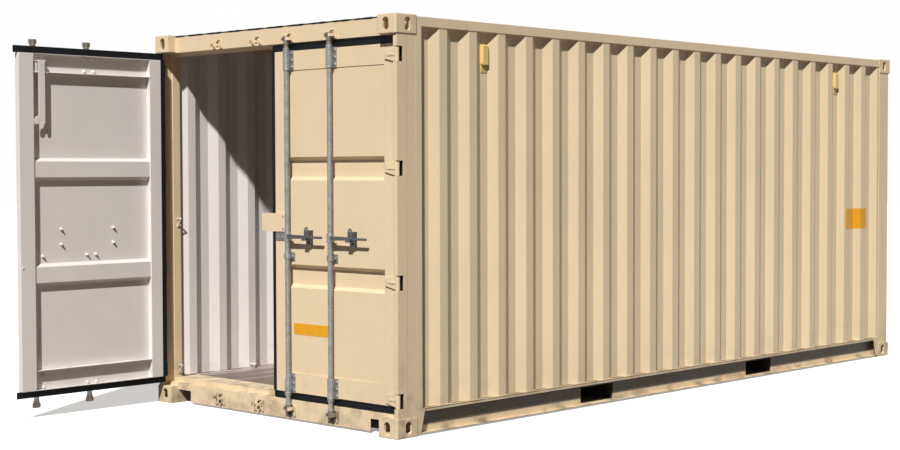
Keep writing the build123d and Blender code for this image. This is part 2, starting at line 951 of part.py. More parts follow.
def end_guide(y, level, slanted):
    """Long guide near an end of a bar, with rings at its ends and a flange to the hinge side."""
    z0, z1 = level - guide_height / 2, level + guide_height / 2
    reach = bar_radius + bar_slack + guide_wall + guide_ring_rise
    sleeve = guide_sleeve(y, z0, z1, leaf_face)
    sleeve += rod_z(bar_x, y, reach, z0, z0 + guide_ring_height)
    if slanted:
        sleeve -= lengthwise(
            [(y - reach, z1 - guide_slant), (y + reach, z1), (y - reach, z1)],
            bar_x - reach, leaf_face,
        )
    else:
        sleeve += rod_z(bar_x, y, reach, z1 - guide_ring_height, z1)
    sleeve &= block(bar_x - reach, leaf_face, y - reach, y + reach, z0, z1)
    flange = block(
        leaf_face - guide_plate_thick, leaf_face, y - guide_back_flange, y + guide_flange, z0, z1
    )
    return sleeve + flange - guide_bore(y, z0, z1)


def mid_guide(y):
    """Short guide below a handle, with a round boss to the hinge side."""
    z0, z1 = guide_mid - guide_mid_height / 2, guide_mid + guide_mid_height / 2
    half = guide_mid_plate_height / 2
    plate = block(
        leaf_face - guide_plate_thick, panel_face, y - guide_back_flange, y + guide_flange,
        guide_mid - half, guide_mid + half,
    )
    front = leaf_face - guide_plate_thick
    boss = rod_x(front - guide_boss_rise, front, y + guide_boss_from_bar, guide_mid, guide_boss_radius)
    guide = guide_sleeve(y, z0, z1, leaf_face) + plate + boss
    return guide - guide_bore(y, guide_mid - half, guide_mid + half)


def bar_guides():
    """Three guides for each bar of the left leaf, closed position."""
    out = []
    for y in (bar_inner, bar_outer):
        out.append(end_guide(y, guide_low, y == bar_inner))
        out.append(mid_guide(y))
        out.append(end_guide(y, guide_high, False))
    return out


def cam(y, low):
    """The two-lobed end of a bar, long across the door when locked, with the collar behind it."""
    _, _, z0, z1 = keeper_levels(low)
    inner, outward = (z1, -1) if low else (z0, 1)
    half = cam_thick / 2
    lobes = rod_z(bar_x, y, cam_radius, z0, z1)
    lobes &= block(bar_x - half, bar_x + half, y - cam_radius, y + cam_radius, z0, z1)
    for side in (-1, 1):
        lobes -= lengthwise(
            [
                (y + side * cam_small_radius, inner), (y + side * cam_radius, inner),
                (y + side * cam_radius, inner + outward * cam_taper),
            ],
            bar_x - half, bar_x + half,
        )
    end = inner - outward * cam_collar_height
    ring = rod_z(bar_x, y, cam_collar_radius, min(inner, end), max(inner, end))
    return lobes + rod_z(bar_x, y, bar_radius, z0, z1) + ring


def rest_collars(y):
    """Rings that keep a bar from sliding up or down in its end guides."""
    gap = guide_height / 2 + rest_collar_gap
    z0 = guide_high + gap
    z1 = guide_low - gap
    high = rod_z(bar_x, y, rest_collar_radius, z0, z0 + rest_collar_height)
    return high + rod_z(bar_x, y, rest_collar_radius, z1 - rest_collar_height, z1)


def locking_bar(y):
    """A locking bar of the left leaf with its cams, collars and handle hub, closed position."""
    z0, z1 = cam_bottom + cam_height, cam_top - cam_height
    bore = rod_z(bar_x, y, bar_radius - bar_wall, z0, z1)
    bar = rod_z(bar_x, y, bar_radius, z0, z1)
    bar += cam(y, True) + cam(y, False) + rest_collars(y)
    low = handle_level - hub_height / 2
    high = handle_level + hub_height / 2
    hub = rod_z(bar_x, y, hub_radius, low, high)
    hub -= block(bar_x + bar_radius, leaf_face, y - hub_radius, y + hub_radius, low, high)
    ear_x = bar_x - bar_radius
    half = handle_height / 2 + hub_ear_edge
    ear = block(
        ear_x - hub_ear_thick / 2, ear_x + hub_ear_thick / 2,
        y, y + handle_pivot + handle_height / 2, handle_level - half, handle_level + half,
    )
    hub -= block(
        bar_x - hub_radius, ear_x - hub_ear_thick / 2, y - hub_radius, y + hub_radius, low, high
    )
    pin = rod_x(
        ear_x - hub_ear_thick, ear_x, y + handle_pivot, handle_level, handle_pin_radius
    )
    return bar + hub + ear - bore + pin


def handle(y):
    """Handle of one bar, stowed along the left leaf, tapering to a round grip, closed position."""
    x1 = handle_x
    x0 = x1 - handle_thick
    y0 = y + handle_pivot
    y1 = y + handle_length
    y2 = y1 - handle_grip_length
    half = handle_height / 2
    tip = handle_tip_height / 2
    body = lengthwise(
        [
            (y0, handle_level - half), (y2, handle_level - tip),
            (y2, handle_level + tip), (y0, handle_level + half),
        ],
        x0, x1,
    )
    body += rod_x(x0, x1, y0, handle_level, half)
    grip = extrude(circle_with_flats(handle_grip_radius, False), amount=handle_grip_length)
    body += Pos((x0 + x1) / 2, y2, handle_level) * Rot(-90, 0, 0) * grip
    body -= bore_x(x0, x1, y0, handle_level, handle_pin_radius + handle_pin_gap)
    return body


def handle_catch(y):
    """The catch that a stowed handle drops into, with a seal eye above and a bolt below."""
    middle = y + catch_from_bar
    y0, y1 = middle - catch_width / 2, middle + catch_width / 2
    front = handle_x - handle_thick - catch_slack
    back = handle_x + catch_slack
    shelf = handle_level - handle_height / 2 - catch_under_gap
    low = shelf - catch_plate_thick
    high = handle_level + handle_height + catch_back_rise
    hook = block(back, panel_face, y0, y1, low, high)
    hook += block(front, back, y0, y1, low, shelf)
    hook += block(front - catch_lip_thick, front, y0, y1, low, handle_level)
    eye_x = back + catch_eye_thick
    eye_z = handle_level + catch_eye_rise
    hook += rod_x(back, eye_x, middle, eye_z, catch_eye_radius)
    hook += block(
        back, eye_x, middle - catch_eye_radius, middle + catch_eye_radius, high, eye_z
    )
    hook -= bore_x(back, eye_x, middle, eye_z, catch_eye_hole)
    foot = panel_face - catch_foot_depth
    hook += block(foot, panel_face, y0, y1, low - catch_foot_height, low)
    bolt_z = low - catch_foot_height / 2
    hook += rod_x(foot - catch_bolt_rise, foot, middle, bolt_z, catch_bolt_radius)
    return hook


def handle_catches():
    """Two catches of the left leaf, closed position."""
    return [handle_catch(y) for y in (bar_inner, bar_outer)]


def keeper(y, low):
    """A keeper in the sill or header: a window frame with a middle rib, and arms round the cam."""
    z0, z1, cam_z0, cam_z1 = keeper_levels(low)
    arm0 = (cam_z0 + cam_z1 - keeper_arm_height) / 2
    arm1 = arm0 + keeper_arm_height
    half = keeper_base_width / 2
    pocket = cam_radius + keeper_gap
    reach = pocket + keeper_wall
    back = frame_front + keeper_base_thick
    plate_front = frame_front - keeper_wall
    plate = block(plate_front, back, y - half, y + half, z0, z1)
    arms = rod_z(bar_x, y, reach, arm0, arm1)
    arms += block(bar_x, plate_front, y - reach, y + reach, arm0, arm1)
    body = plate + (arms - block(back, bar_x + 2 * reach, y - reach, y + reach, arm0, arm1))
    body -= bore_z(bar_x, y, pocket, z0, z1)
    body -= block(
        bar_x - reach, bar_x, y - keeper_mouth / 2, y + keeper_mouth / 2, arm0, arm1
    )
    edge = keeper_window_edge
    for side in (-1, 1):
        body -= block(
            bar_x + keeper_mouth / 2, back, y + side * keeper_rib / 2, y + side * pocket,
            z0 + edge, z1 - edge,
        )
    return body


def lock_plate():
    """Plate on the right leaf that laps over the left leaf."""
    half = lock_plate_height / 2
    x1 = leaf_face - lock_plate_lift
    x0 = x1 - lock_plate_thick
    plate = block(
        x0, x1, -lock_plate_hold, lock_plate_reach,
        lock_plate_level - half, lock_plate_level + half,
    )
    plate = fillet(plate.edges().filter_by(Axis.X), lock_plate_round)
    pad = block(
        x1, leaf_face, lock_plate_round - lock_plate_hold, -leaf_meeting - leaf_meeting_stile / 2,
        lock_plate_level - half, lock_plate_level + half,
    )
    return plate + pad


def open_left(shape):
    """Swing a closed left-leaf shape to where the leaf stands open."""
    return Pos(pin_x, pin_y, 0) * Rot(0, 0, -left_open) * Pos(-pin_x, -pin_y, 0) * shape


def opened(shapes):
    """Several shapes swung open."""
    return [open_left(s) for s in shapes]


def closed_right(shapes):
    """Several left-leaf shapes mirrored to the closed right leaf."""
    return [mirrored_y(s) for s in shapes]


def write_frame():
    """Nodes of the fixed box frame."""
    save("corner_castings_bottom", *castings(False))
    save("corner_castings_top", *castings(True))
    post = door_post()
    save("door_post_left", post)
    save("door_post_right", mirrored_y(post))
    pins = hinge_pins()
    save("hinge_pins", *pins, *[mirrored_y(p) for p in pins])
    corner = front_post()
    save("front_posts", corner, mirrored_y(corner))
    rail = top_side_rail()
    save("top_rail_left", rail)
    save("top_rail_right", mirrored_y(rail))
    rail = bottom_side_rail()
    save("bottom_rail_left", rail)
    save("bottom_rail_right", mirrored_y(rail))
    edges = pocket_rail_edges()
    save("pocket_rail_edges", *edges, *[mirrored_y(e) for e in edges])
    save("front_top_rail", front_top_rail())
    save("front_bottom_rail", front_bottom_rail())
    save("door_header", door_header())
    save("door_sill", door_sill())
    save("threshold_plate", threshold())


def write_skin():
    """Nodes of the walls, roof and floor."""
    wall = side_wall()
    save("side_wall_left", wall)
    save("side_wall_right", mirrored_y(wall))
    save("front_wall", front_wall())
    save("roof_panel", roof())
    save("floor_boards", *floor())
    save("cross_members", *cross_members())
    sides, plates = fork_pockets()
    save("fork_pockets", *sides)
    save("fork_pocket_plates", *plates)
    save("vent_covers", *vents())
    save("lashing_loops", *lashing_loops())
    save("sill_keepers", *[keeper(y, True) for y in bar_places])
    save("header_keepers", *[keeper(y, False) for y in bar_places])


def write_doors():
    """Nodes of both leaves, their bars and handles."""
    pieces = {
        "leaf_frame": [leaf_frame()],
        "leaf_panel": [leaf_panel()],
        "hinge_blades": [hinge_blade(level) for level in hinge_heights],
        "bar_guides": bar_guides(),
        "handle_catches": handle_catches(),
    }
    for name, shapes in pieces.items():
        save(f"left_{name}", *opened(shapes))
        save(f"right_{name}", *closed_right(shapes))
    save("left_gasket", *opened([gasket(True)]))
    save("right_gasket", mirrored_y(gasket(False)))
    save("lock_plate", lock_plate())
    for name, y in (("inner", bar_inner), ("outer", bar_outer)):
        bar = locking_bar(y)
        save(f"left_{name}_bar", *opened([bar]))
        save(f"right_{name}_bar", mirrored_y(bar))
        lever = handle(y)
        save(f"left_{name}_handle", *opened([lever]))
        save(f"right_{name}_handle", mirrored_y(lever))


os.makedirs("parts", exist_ok=True)
write_frame()
write_skin()
write_doors()
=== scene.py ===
import bpy
import bmesh
import json
import math
from mathutils import Matrix, Vector


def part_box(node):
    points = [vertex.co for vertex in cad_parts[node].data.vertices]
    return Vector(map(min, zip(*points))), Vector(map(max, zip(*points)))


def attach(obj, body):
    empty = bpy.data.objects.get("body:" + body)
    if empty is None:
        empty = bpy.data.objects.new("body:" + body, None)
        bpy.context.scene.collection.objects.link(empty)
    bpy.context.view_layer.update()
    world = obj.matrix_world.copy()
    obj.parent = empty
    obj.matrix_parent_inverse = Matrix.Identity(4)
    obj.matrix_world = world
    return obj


bl_info = {
    "name": "Shipping container dressing",
    "version": (1, 0, 0),
    "blender": (4, 5, 0),
    "location": "View3D > Sidebar > Container",
    "description": "Paints the solid model of a shipping container and adds its small trim",
    "category": "Object",
}

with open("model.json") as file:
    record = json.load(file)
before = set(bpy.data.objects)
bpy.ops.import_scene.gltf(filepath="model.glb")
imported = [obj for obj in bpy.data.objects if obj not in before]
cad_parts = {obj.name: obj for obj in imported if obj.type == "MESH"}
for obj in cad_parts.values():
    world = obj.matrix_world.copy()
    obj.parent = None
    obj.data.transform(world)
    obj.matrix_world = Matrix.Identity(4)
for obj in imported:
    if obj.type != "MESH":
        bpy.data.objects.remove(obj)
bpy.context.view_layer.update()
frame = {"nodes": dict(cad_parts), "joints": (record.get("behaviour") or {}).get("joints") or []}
nodes = frame["nodes"]
joint_places = {joint["name"]: joint for joint in frame["joints"]}

# Places and sizes on the solid model, in metres

LEAF_LOW, LEAF_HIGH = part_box("right_leaf_frame")
PANEL_LOW, PANEL_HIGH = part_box("right_leaf_panel")
WALL_LOW, WALL_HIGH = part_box("side_wall_right")
SILL_TOP = 0.138
LEAF_SHEET = 0.002
STRIP_SHEET = 0.002
RUN_IN = 0.001
HANDLE_LEVEL = joint_places["right_inner_bar_turn"]["pos_m"][2]
leaf_face, leaf_back = LEAF_LOW.x, LEAF_HIGH.x
leaf_edge, leaf_meeting = -LEAF_LOW.y, -LEAF_HIGH.y


# Sizes and colours that a user would change

def colour_value(name, description, default):
    """A colour that can be picked in the sidebar."""
    return bpy.props.FloatVectorProperty(
        name=name, description=description, default=default, subtype="COLOR", size=3, min=0, max=1
    )


def size_value(name, description, default):
    """A length that can be set in the sidebar."""
    return bpy.props.FloatProperty(
        name=name, description=description, default=default, unit="LENGTH", min=0, precision=4
    )


def share_value(name, description, default):
    """A share from none to all."""
    return bpy.props.FloatProperty(
        name=name, description=description, default=default, subtype="FACTOR", min=0, max=1
    )


class PaintSettings(bpy.types.PropertyGroup):
    """Colours and wear of the paint, the zinc and the floor, and the painted shade in recesses and
    hollows.
    """

    outside: colour_value("Outside paint", "Sand coloured paint of the shell", (0.80, 0.63, 0.42))
    inside: colour_value("Inside paint", "Pale grey paint of the inner faces", (0.80, 0.745, 0.715))
    vent: colour_value("Vent paint", "Yellow paint of the ventilators", (0.80, 0.58, 0.20))
    label: colour_value("Label amber", "Amber of the plain label panels", (0.81, 0.36, 0.010))
    rust: colour_value("Rust", "Bare rusted steel", (0.16, 0.065, 0.03))
    grime: colour_value("Grime", "Road dirt on the lower parts", (0.24, 0.18, 0.12))
    zinc: colour_value("Zinc", "Zinc coat of the locking gear", (0.34, 0.345, 0.34))
    zinc_dark: colour_value("Dull zinc", "Darker patches of the zinc coat", (0.20, 0.205, 0.205))
    # The cams at the bars' ends are mixed toward this darker brown
    cam_brown: colour_value("Cam brown", "Darker brown of the cams at the bars' ends", (0.20, 0.150, 0.115))
    # Grime and painted shade for the deep part of the bottom rails, and painted shade for the posts' hinge
    # notches
    grime_and_recess_shade: colour_value("Recess grime and shade", "Grime and painted shade deep in the bottom rails and hinge notches", (0.075, 0.062, 0.040))
    # A real dark coat on the underside, and also painted shade inside the sill's hollow
    underseal_and_shade: colour_value("Underseal and sill shade", "Dark coat of the underside, also painted shade inside the sill", (0.035, 0.030, 0.024))
    rubber: colour_value("Rubber", "Black seal round the doors", (0.007, 0.008, 0.010))
    wood: colour_value("Floor boards", "Worn plywood floor", (0.25, 0.20, 0.165))
    wear: share_value("Wear", "How much paint has chipped off the edges", 0.45)
    dirt: share_value("Dirt", "How much dirt lies on the paint", 0.45)


class TrimSettings(bpy.types.PropertyGroup):
    """Sizes of the small trim that is added to the solid model."""

    weld: size_value("Weld bead", "Radius of the weld beads", 0.0026)
    bolt: size_value("Bolt head", "Radius of the bolt heads on the guides", 0.0085)
    nut: size_value("Inner nut", "Radius of the nuts inside the doors", 0.010)
    bolt_end: size_value("Bolt end", "How far the bolts' ends stand out inside the doors", 0.019)
    screw: size_value("Floor screw", "Radius of the floor screws", 0.0055)
    label_lift: size_value("Label lift", "How far a label stands off the paint", 0.0008)
    strap_width: size_value("Strap width", "Width of the hanging strap in the left door", 0.048)
    strap_length: size_value("Strap length", "Length of the hanging strap", 0.428)
    edge_strip: size_value("Post edge strip", "How far the door post laps over the side wall", 0.046)
    foot_strip: size_value(
        "Wall foot strip", "How far the side wall's foot hangs before the bottom rail", 0.0215
    )


class StageSettings(bpy.types.PropertyGroup):
    """Camera, lamps and floor."""

    camera_place: bpy.props.FloatVectorProperty(
        name="Camera place", description="Where the camera stands", unit="LENGTH",
        default=(-9.811, -8.149, 1.644),
    )
    turn: bpy.props.FloatProperty(
        name="Turn", description="Turn of the camera to the right of straight ahead",
        default=math.radians(46.3), subtype="ANGLE",
    )
    tip: bpy.props.FloatProperty(
        name="Tip", description="Tip of the camera above the level",
        default=math.radians(-1.98), subtype="ANGLE",
    )
    roll: bpy.props.FloatProperty(
        name="Roll", description="Roll of the camera", default=math.radians(-0.16), subtype="ANGLE",
    )
    lens: bpy.props.FloatProperty(
        name="Lens", description="Length of the lens on a 36 mm wide frame", default=64.05,
    )
    lamp: bpy.props.FloatProperty(
        name="Main lamp", description="Strength of the large main lamp", default=4.6, min=0,
    )
    fill: bpy.props.FloatProperty(
        name="Fill", description="Strength of the even light from all round", default=0.055, min=0,
    )
    back: bpy.props.FloatProperty(
        name="Back lamp", description="Strength of the weaker lamp behind the container",
        default=1.6, min=0,
    )
    softness: bpy.props.FloatProperty(
        name="Softness", description="How wide the main lamp looks from the object",
        default=math.radians(2.0), subtype="ANGLE",
    )


# Short ways to write node trees

def put(tree, kind, inputs=None, **settings):
    """Adds a node. An input takes a constant, or a socket to join to it."""
    made = tree.nodes.new("ShaderNode" + kind)
    for name, value in settings.items():
        setattr(made, name, value)
    for key, value in (inputs or {}).items():
        if isinstance(value, bpy.types.NodeSocket):
            tree.links.new(value, made.inputs[key])
        else:
            made.inputs[key].default_value = value
    return made


def calc(tree, operation, *values, clamp=False):
    """The result of one sum."""
    return put(tree, "Math", dict(enumerate(values)), operation=operation, use_clamp=clamp).outputs[0]


def spread(tree, value, low, high, out_low=0.0, out_high=1.0):
    """A value taken from one range to another, with soft ends."""
    made = put(
        tree, "MapRange", {0: value, 1: low, 2: high, 3: out_low, 4: out_high},
        interpolation_type="SMOOTHSTEP", clamp=True,
    )
    return made.outputs[0]


def mix(tree, share, first, second):
    """Two colours mixed by a share."""
    made = put(tree, "Mix", {0: share, 6: first, 7: second}, data_type="RGBA")
    return made.outputs[2]


def noise(tree, place, scale, detail=4.0, roughness=0.55):
    """A cloudy value."""
    made = put(
        tree, "TexNoise",
        {"Vector": place, "Scale": scale, "Detail": detail, "Roughness": roughness},
    )
    return made.outputs[0]


def stretched(tree, place, scale):
    """The place scaled along each axis."""
    return put(tree, "Mapping", {"Vector": place, "Scale": scale}).outputs[0]


def parted(tree, vector):
    """The three parts of a vector."""
    return put(tree, "SeparateXYZ", {0: vector}).outputs


def object_place(tree):
    """The place on the object, in metres."""
    return put(tree, "TexCoord").outputs["Object"]


def linear(colour):
    """A colour with its fourth part."""
    return (*colour, 1.0)


def new_group(name, inputs, outputs):
    """An empty node group with named sockets, and its two end nodes."""
    group = bpy.data.node_groups.new(name, "ShaderNodeTree")
    kinds = {"c": "NodeSocketColor", "f": "NodeSocketFloat", "v": "NodeSocketVector"}
    for label, kind in inputs:
        group.interface.new_socket(label, in_out="INPUT", socket_type=kinds[kind])
    for label, kind in outputs:
        group.interface.new_socket(label, in_out="OUTPUT", socket_type=kinds[kind])
    return group, group.nodes.new("NodeGroupInput").outputs, group.nodes.new("NodeGroupOutput").inputs


def directly_seen(tree):
    """A mask of the rays that show a thing itself: straight, mirrored or through glass."""
    rays = put(tree, "LightPath").outputs
    bent = calc(tree, "MAXIMUM", rays["Is Glossy Ray"], rays["Is Transmission Ray"])
    return calc(tree, "MAXIMUM", rays["Is Camera Ray"], bent)


def tidy_tree(tree):
    """Lays the nodes out in rows so that the tree can be read."""
    for i, made in enumerate(tree.nodes):
        made.location = (220 * (i % 8), -260 * (i // 8))


def edge_finder():
    """Group: a mask along outer edges, and the normal rounded there."""
    group, given, out = new_group(
        "edge_finder", [("Reach", "f")], [("Edge", "f"), ("Normal", "v")]
    )
    rounded = put(group, "Bevel", {"Radius": given["Reach"]}, samples=6).outputs[0]
    face = put(group, "NewGeometry").outputs["Normal"]
    match = put(group, "VectorMath", {0: rounded, 1: face}, operation="DOT_PRODUCT").outputs["Value"]
    group.links.new(spread(group, match, 0.995, 0.86), out["Edge"])
    group.links.new(rounded, out["Normal"])
    tidy_tree(group)
    return group


def weather():
    """Group: masks of grime, streaks and rust, and the fine height of a painted sheet."""
    group, given, out = new_group(
        "weather",
        [("Dirt", "f"), ("Rust", "f"), ("Streaks", "f"), ("Splash Height", "f"), ("Edge", "f"),
         ("Wear", "f")],
        [("Tone", "f"), ("Grime", "f"), ("Bare", "f"), ("Height", "f")],
    )
    place = object_place(group)
    upward = parted(group, put(group, "TexCoord").outputs["Normal"])["Z"]
    level = parted(group, place)["Z"]
    broad = noise(group, place, 0.85, 3.0)
    patchy = noise(group, place, 7.5, 6.0, 0.6)
    fine = noise(group, place, 95.0, 3.0)
    run = noise(group, stretched(group, place, (26.0, 26.0, 1.1)), 1.0, 5.0, 0.6)
    tone = calc(group, "MULTIPLY_ADD", calc(group, "SUBTRACT", broad, 0.5), 0.22, 1.0)
    tone = calc(group, "MULTIPLY_ADD", calc(group, "SUBTRACT", patchy, 0.5), 0.10, tone)
    group.links.new(tone, out["Tone"])
    splash = calc(group, "DIVIDE", level, given["Splash Height"])
    splash = calc(group, "MULTIPLY", spread(group, splash, 1.0, 0.0), spread(group, patchy, 0.40, 0.72))
    streak = calc(group, "MULTIPLY", spread(group, run, 0.56, 0.80), given["Streaks"])
    settled = calc(group, "MULTIPLY", spread(group, upward, 0.4, 0.95), spread(group, patchy, 0.35, 0.65))
    cloud = calc(group, "MULTIPLY", spread(group, broad, 0.50, 0.72), spread(group, patchy, 0.45, 0.75))
    grime = calc(group, "ADD", splash, streak)
    grime = calc(group, "ADD", grime, calc(group, "MULTIPLY", settled, 0.6))
    grime = calc(group, "ADD", grime, calc(group, "MULTIPLY", cloud, 0.35))
    group.links.new(calc(group, "MULTIPLY", grime, given["Dirt"], clamp=True), out["Grime"])
    chips = calc(
        group, "MULTIPLY", given["Edge"],
        spread(group, noise(group, place, 42.0, 6.0, 0.7), 0.50, 0.62),
    )
    spots = spread(group, noise(group, place, 21.0, 9.0, 0.72), 0.655, 0.70)
    spots = calc(group, "MULTIPLY", spots, spread(group, patchy, 0.42, 0.60))
    bare = calc(group, "MULTIPLY", spots, given["Rust"])
    bare = calc(group, "MULTIPLY_ADD", chips, given["Wear"], bare, clamp=True)
    group.links.new(bare, out["Bare"])
    height = calc(group, "MULTIPLY_ADD", bare, -1.2, calc(group, "MULTIPLY", fine, 0.5))
    height = calc(group, "MULTIPLY_ADD", patchy, 0.8, height)
    group.links.new(height, out["Height"])
    tidy_tree(group)
    return group


def zinc_coat():
    """Group: the patchy look of a zinc coat."""
    group, given, out = new_group(
        "zinc_coat", [("Light", "c"), ("Dull", "c"), ("Grime", "c")],
        [("Colour", "c"), ("Roughness", "f"), ("Height", "f")],
    )
    place = object_place(group)
    flakes = put(group, "TexVoronoi", {"Vector": place, "Scale": 120.0}).outputs["Color"]
    flake = parted(group, flakes)["X"]
    cloud = noise(group, place, 17.0, 6.0, 0.65)
    run = noise(group, stretched(group, place, (60.0, 60.0, 2.2)), 1.0, 4.0)
    share = calc(group, "MULTIPLY_ADD", flake, 0.22, calc(group, "MULTIPLY", cloud, 0.80))
    colour = mix(group, spread(group, share, 0.30, 0.75), given["Light"], given["Dull"])
    dirty = spread(group, run, 0.55, 0.78, 0.0, 0.65)
    group.links.new(mix(group, dirty, colour, given["Grime"]), out["Colour"])
    rough = calc(group, "MULTIPLY_ADD", flake, 0.10, 0.38)
    group.links.new(calc(group, "MULTIPLY_ADD", dirty, 0.4, rough, clamp=True), out["Roughness"])
    grain = noise(group, place, 210.0, 2.0)
    height = calc(group, "MULTIPLY_ADD", cloud, 0.7, calc(group, "MULTIPLY", grain, 0.2))
    group.links.new(height, out["Height"])
    tidy_tree(group)
    return group


def shared(name, build):
    """A node group, built the first time that it is asked for."""
    return bpy.data.node_groups.get(name) or build()


def new_material(name):
    """An empty material and its shader."""
    material = bpy.data.materials.new(name)
    material.use_nodes = True
    tree = material.node_tree
    return material, tree, tree.nodes["Principled BSDF"]


def finish_material(material, colour, rough, height, strength, distance, normal=None):
    """Joins colour, roughness and relief to the shader of a material."""
    tree = material.node_tree
    shader = tree.nodes["Principled BSDF"]
    tree.links.new(colour, shader.inputs["Base Color"])
    tree.links.new(rough, shader.inputs["Roughness"])
    given = {"Strength": strength, "Distance": distance, "Height": height}
    if normal is not None:
        given["Normal"] = normal
    tree.links.new(put(tree, "Bump", given).outputs[0], shader.inputs["Normal"])
    tidy_tree(tree)
    return material


def inside_mask(tree, where):
    """A mask of the faces that carry the second colour: an inner paint, or on some parts a painted shade.

    where is an outward direction for a sheet, or (axis letter, level, sign) for a tube:
    the part on that side of the level. It can also be a function that builds the mask."""
    if callable(where):
        return where(tree)
    if len(where) == 3 and isinstance(where[0], str):
        letter, level, sign = where
        part = parted(tree, object_place(tree))[letter]
        return calc(tree, "GREATER_THAN", calc(tree, "MULTIPLY", part, sign), level * sign)
    normal = put(tree, "TexCoord").outputs["Normal"]
    facing = put(tree, "VectorMath", {0: normal, 1: where}, operation="DOT_PRODUCT").outputs["Value"]
    return calc(tree, "LESS_THAN", facing, -0.05)


def rail_recess_shade(tree):
    """A mask of the deep part of the bottom rails, above their lower lip, where grime and painted shade
    are laid.
    """
    set_back, lip_low, lip_high = 0.010, 0.050, 0.062
    place = parted(tree, object_place(tree))
    deep = calc(tree, "LESS_THAN", calc(tree, "ABSOLUTE", place["Y"]), -WALL_LOW.y - set_back)
    return calc(tree, "MULTIPLY", deep, spread(tree, place["Z"], lip_low, lip_high))


def hinge_notch_shade(tree):
    """A mask of the posts' hollow outer bars, which show at the hinge notches and get a painted shade."""
    front_wall, lip, skin_wall = 0.010, 0.030, 0.003
    low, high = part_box("door_post_left")
    place = parted(tree, object_place(tree))
    side = calc(tree, "ABSOLUTE", place["Y"])
    hollow = calc(tree, "GREATER_THAN", place["X"], low.x + front_wall)
    hollow = calc(tree, "MULTIPLY", hollow, calc(tree, "GREATER_THAN", side, high.y - lip))
    return calc(tree, "MULTIPLY", hollow, calc(tree, "LESS_THAN", side, high.y - skin_wall))


def sill_hollow_shade(tree):
    """A mask of the sill's hollow inside, which shows at its end notches and gets a painted shade."""
    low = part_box("door_sill")[0]
    skin_wall = 0.003
    place = parted(tree, object_place(tree))
    inside = calc(tree, "GREATER_THAN", place["X"], low.x + skin_wall)
    return calc(tree, "MULTIPLY", inside, calc(tree, "LESS_THAN", place["Z"], SILL_TOP - skin_wall))


def bar_ends(tree):
    """A mask of the cams at both ends of the locking bars."""
    low_cam, over_leaf = 0.045, 0.020
    level = parted(tree, object_place(tree))["Z"]
    foot = calc(tree, "LESS_THAN", level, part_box("right_inner_bar")[0].z + low_cam)
    return calc(tree, "MAXIMUM", foot, calc(tree, "GREATER_THAN", level, LEAF_HIGH.z + over_leaf))


def paint_material(name, colour, inner=None, where=None, rust=0.25, streaks=0.35, splash=0.9, reach=0.004,
                   wear=1.0, bump=0.0008, rough=0.42, dirt=1.0):
    """Painted steel with dirt, rust spots and chipped edges, and under a mask a second colour: an inner
    paint, or on some parts a painted shade.
    """
    settings = bpy.context.scene.container_paint
    material, tree, shader = new_material(name)
    paint = linear(colour)
    if inner:
        paint = mix(tree, inside_mask(tree, where), linear(colour), linear(inner))
    edge = put(tree, "Group", node_tree=shared("edge_finder", edge_finder))
    edge.inputs["Reach"].default_value = reach
    marks = put(tree, "Group", node_tree=shared("weather", weather))
    for key, value in (
        ("Dirt", settings.dirt * dirt), ("Rust", rust), ("Streaks", streaks),
        ("Splash Height", splash), ("Wear", settings.wear * wear),
    ):
        marks.inputs[key].default_value = value
    tree.links.new(edge.outputs["Edge"], marks.inputs["Edge"])
    toned = put(tree, "HueSaturation", {"Color": paint, "Value": marks.outputs["Tone"]}).outputs[0]
    dirty = mix(tree, marks.outputs["Grime"], toned, linear(settings.grime))
    colour_out = mix(tree, marks.outputs["Bare"], dirty, linear(settings.rust))
    gloss = calc(tree, "MULTIPLY_ADD", marks.outputs["Grime"], 0.30, rough)
    gloss = calc(tree, "MULTIPLY_ADD", marks.outputs["Bare"], 0.35, gloss, clamp=True)
    shader.inputs["Specular IOR Level"].default_value = 0.25
    return finish_material(
        material, colour_out, gloss, marks.outputs["Height"], 0.55, bump, edge.outputs["Normal"]
    )


def cast_material(name, colour):
    """Rough cast steel of the corner castings, thinly painted and battered."""
    return paint_material(
        name, colour, rust=1.3, streaks=0.6, splash=0.6, reach=0.009, wear=2.2, bump=0.002,
        rough=0.5, dirt=1.7,
    )


def zinc_material(name, dull=0.0, shade=1.0, darker_part=None):
    """Zinc coated steel of the locking gear. The optional mask function marks the part that is mixed
    toward a darker brown.
    """
    settings = bpy.context.scene.container_paint
    material, tree, shader = new_material(name)
    light = tuple((a + (b - a) * dull) * shade for a, b in zip(settings.zinc, settings.zinc_dark))
    coat = put(tree, "Group", node_tree=shared("zinc_coat", zinc_coat))
    coat.inputs["Light"].default_value = linear(light)
    coat.inputs["Dull"].default_value = linear(tuple(part * shade for part in settings.zinc_dark))
    coat.inputs["Grime"].default_value = linear(settings.grime)
    edge = put(tree, "Group", node_tree=shared("edge_finder", edge_finder))
    edge.inputs["Reach"].default_value = 0.004
    rubbed = linear((0.56, 0.56, 0.55))
    worn = mix(tree, calc(tree, "MULTIPLY", edge.outputs["Edge"], 0.3), coat.outputs["Colour"], rubbed)
    # The masked part is mixed toward a darker brown
    if darker_part:
        worn = mix(tree, calc(tree, "MULTIPLY", darker_part(tree), 0.85), worn, linear(settings.cam_brown))
    shader.inputs["Metallic"].default_value = 0.55
    return finish_material(
        material, worn, coat.outputs["Roughness"], coat.outputs["Height"], 0.25, 0.0005,
        edge.outputs["Normal"],
    )


def rubber_material(name):
    """Black rubber with a little dust."""
    settings = bpy.context.scene.container_paint
    material, tree, shader = new_material(name)
    place = object_place(tree)
    dust = spread(tree, noise(tree, place, 12.0, 6.0), 0.55, 0.85, 0.0, 0.16)
    dusty = linear((0.10, 0.095, 0.085))
    shader.inputs["Specular IOR Level"].default_value = 0.12
    ribs = noise(tree, stretched(tree, place, (150.0, 150.0, 150.0)), 1.0, 3.0)
    return finish_material(
        material, mix(tree, dust, linear(settings.rubber), dusty),
        calc(tree, "MULTIPLY_ADD", dust, 0.6, 0.62), ribs, 0.4, 0.0006,
    )


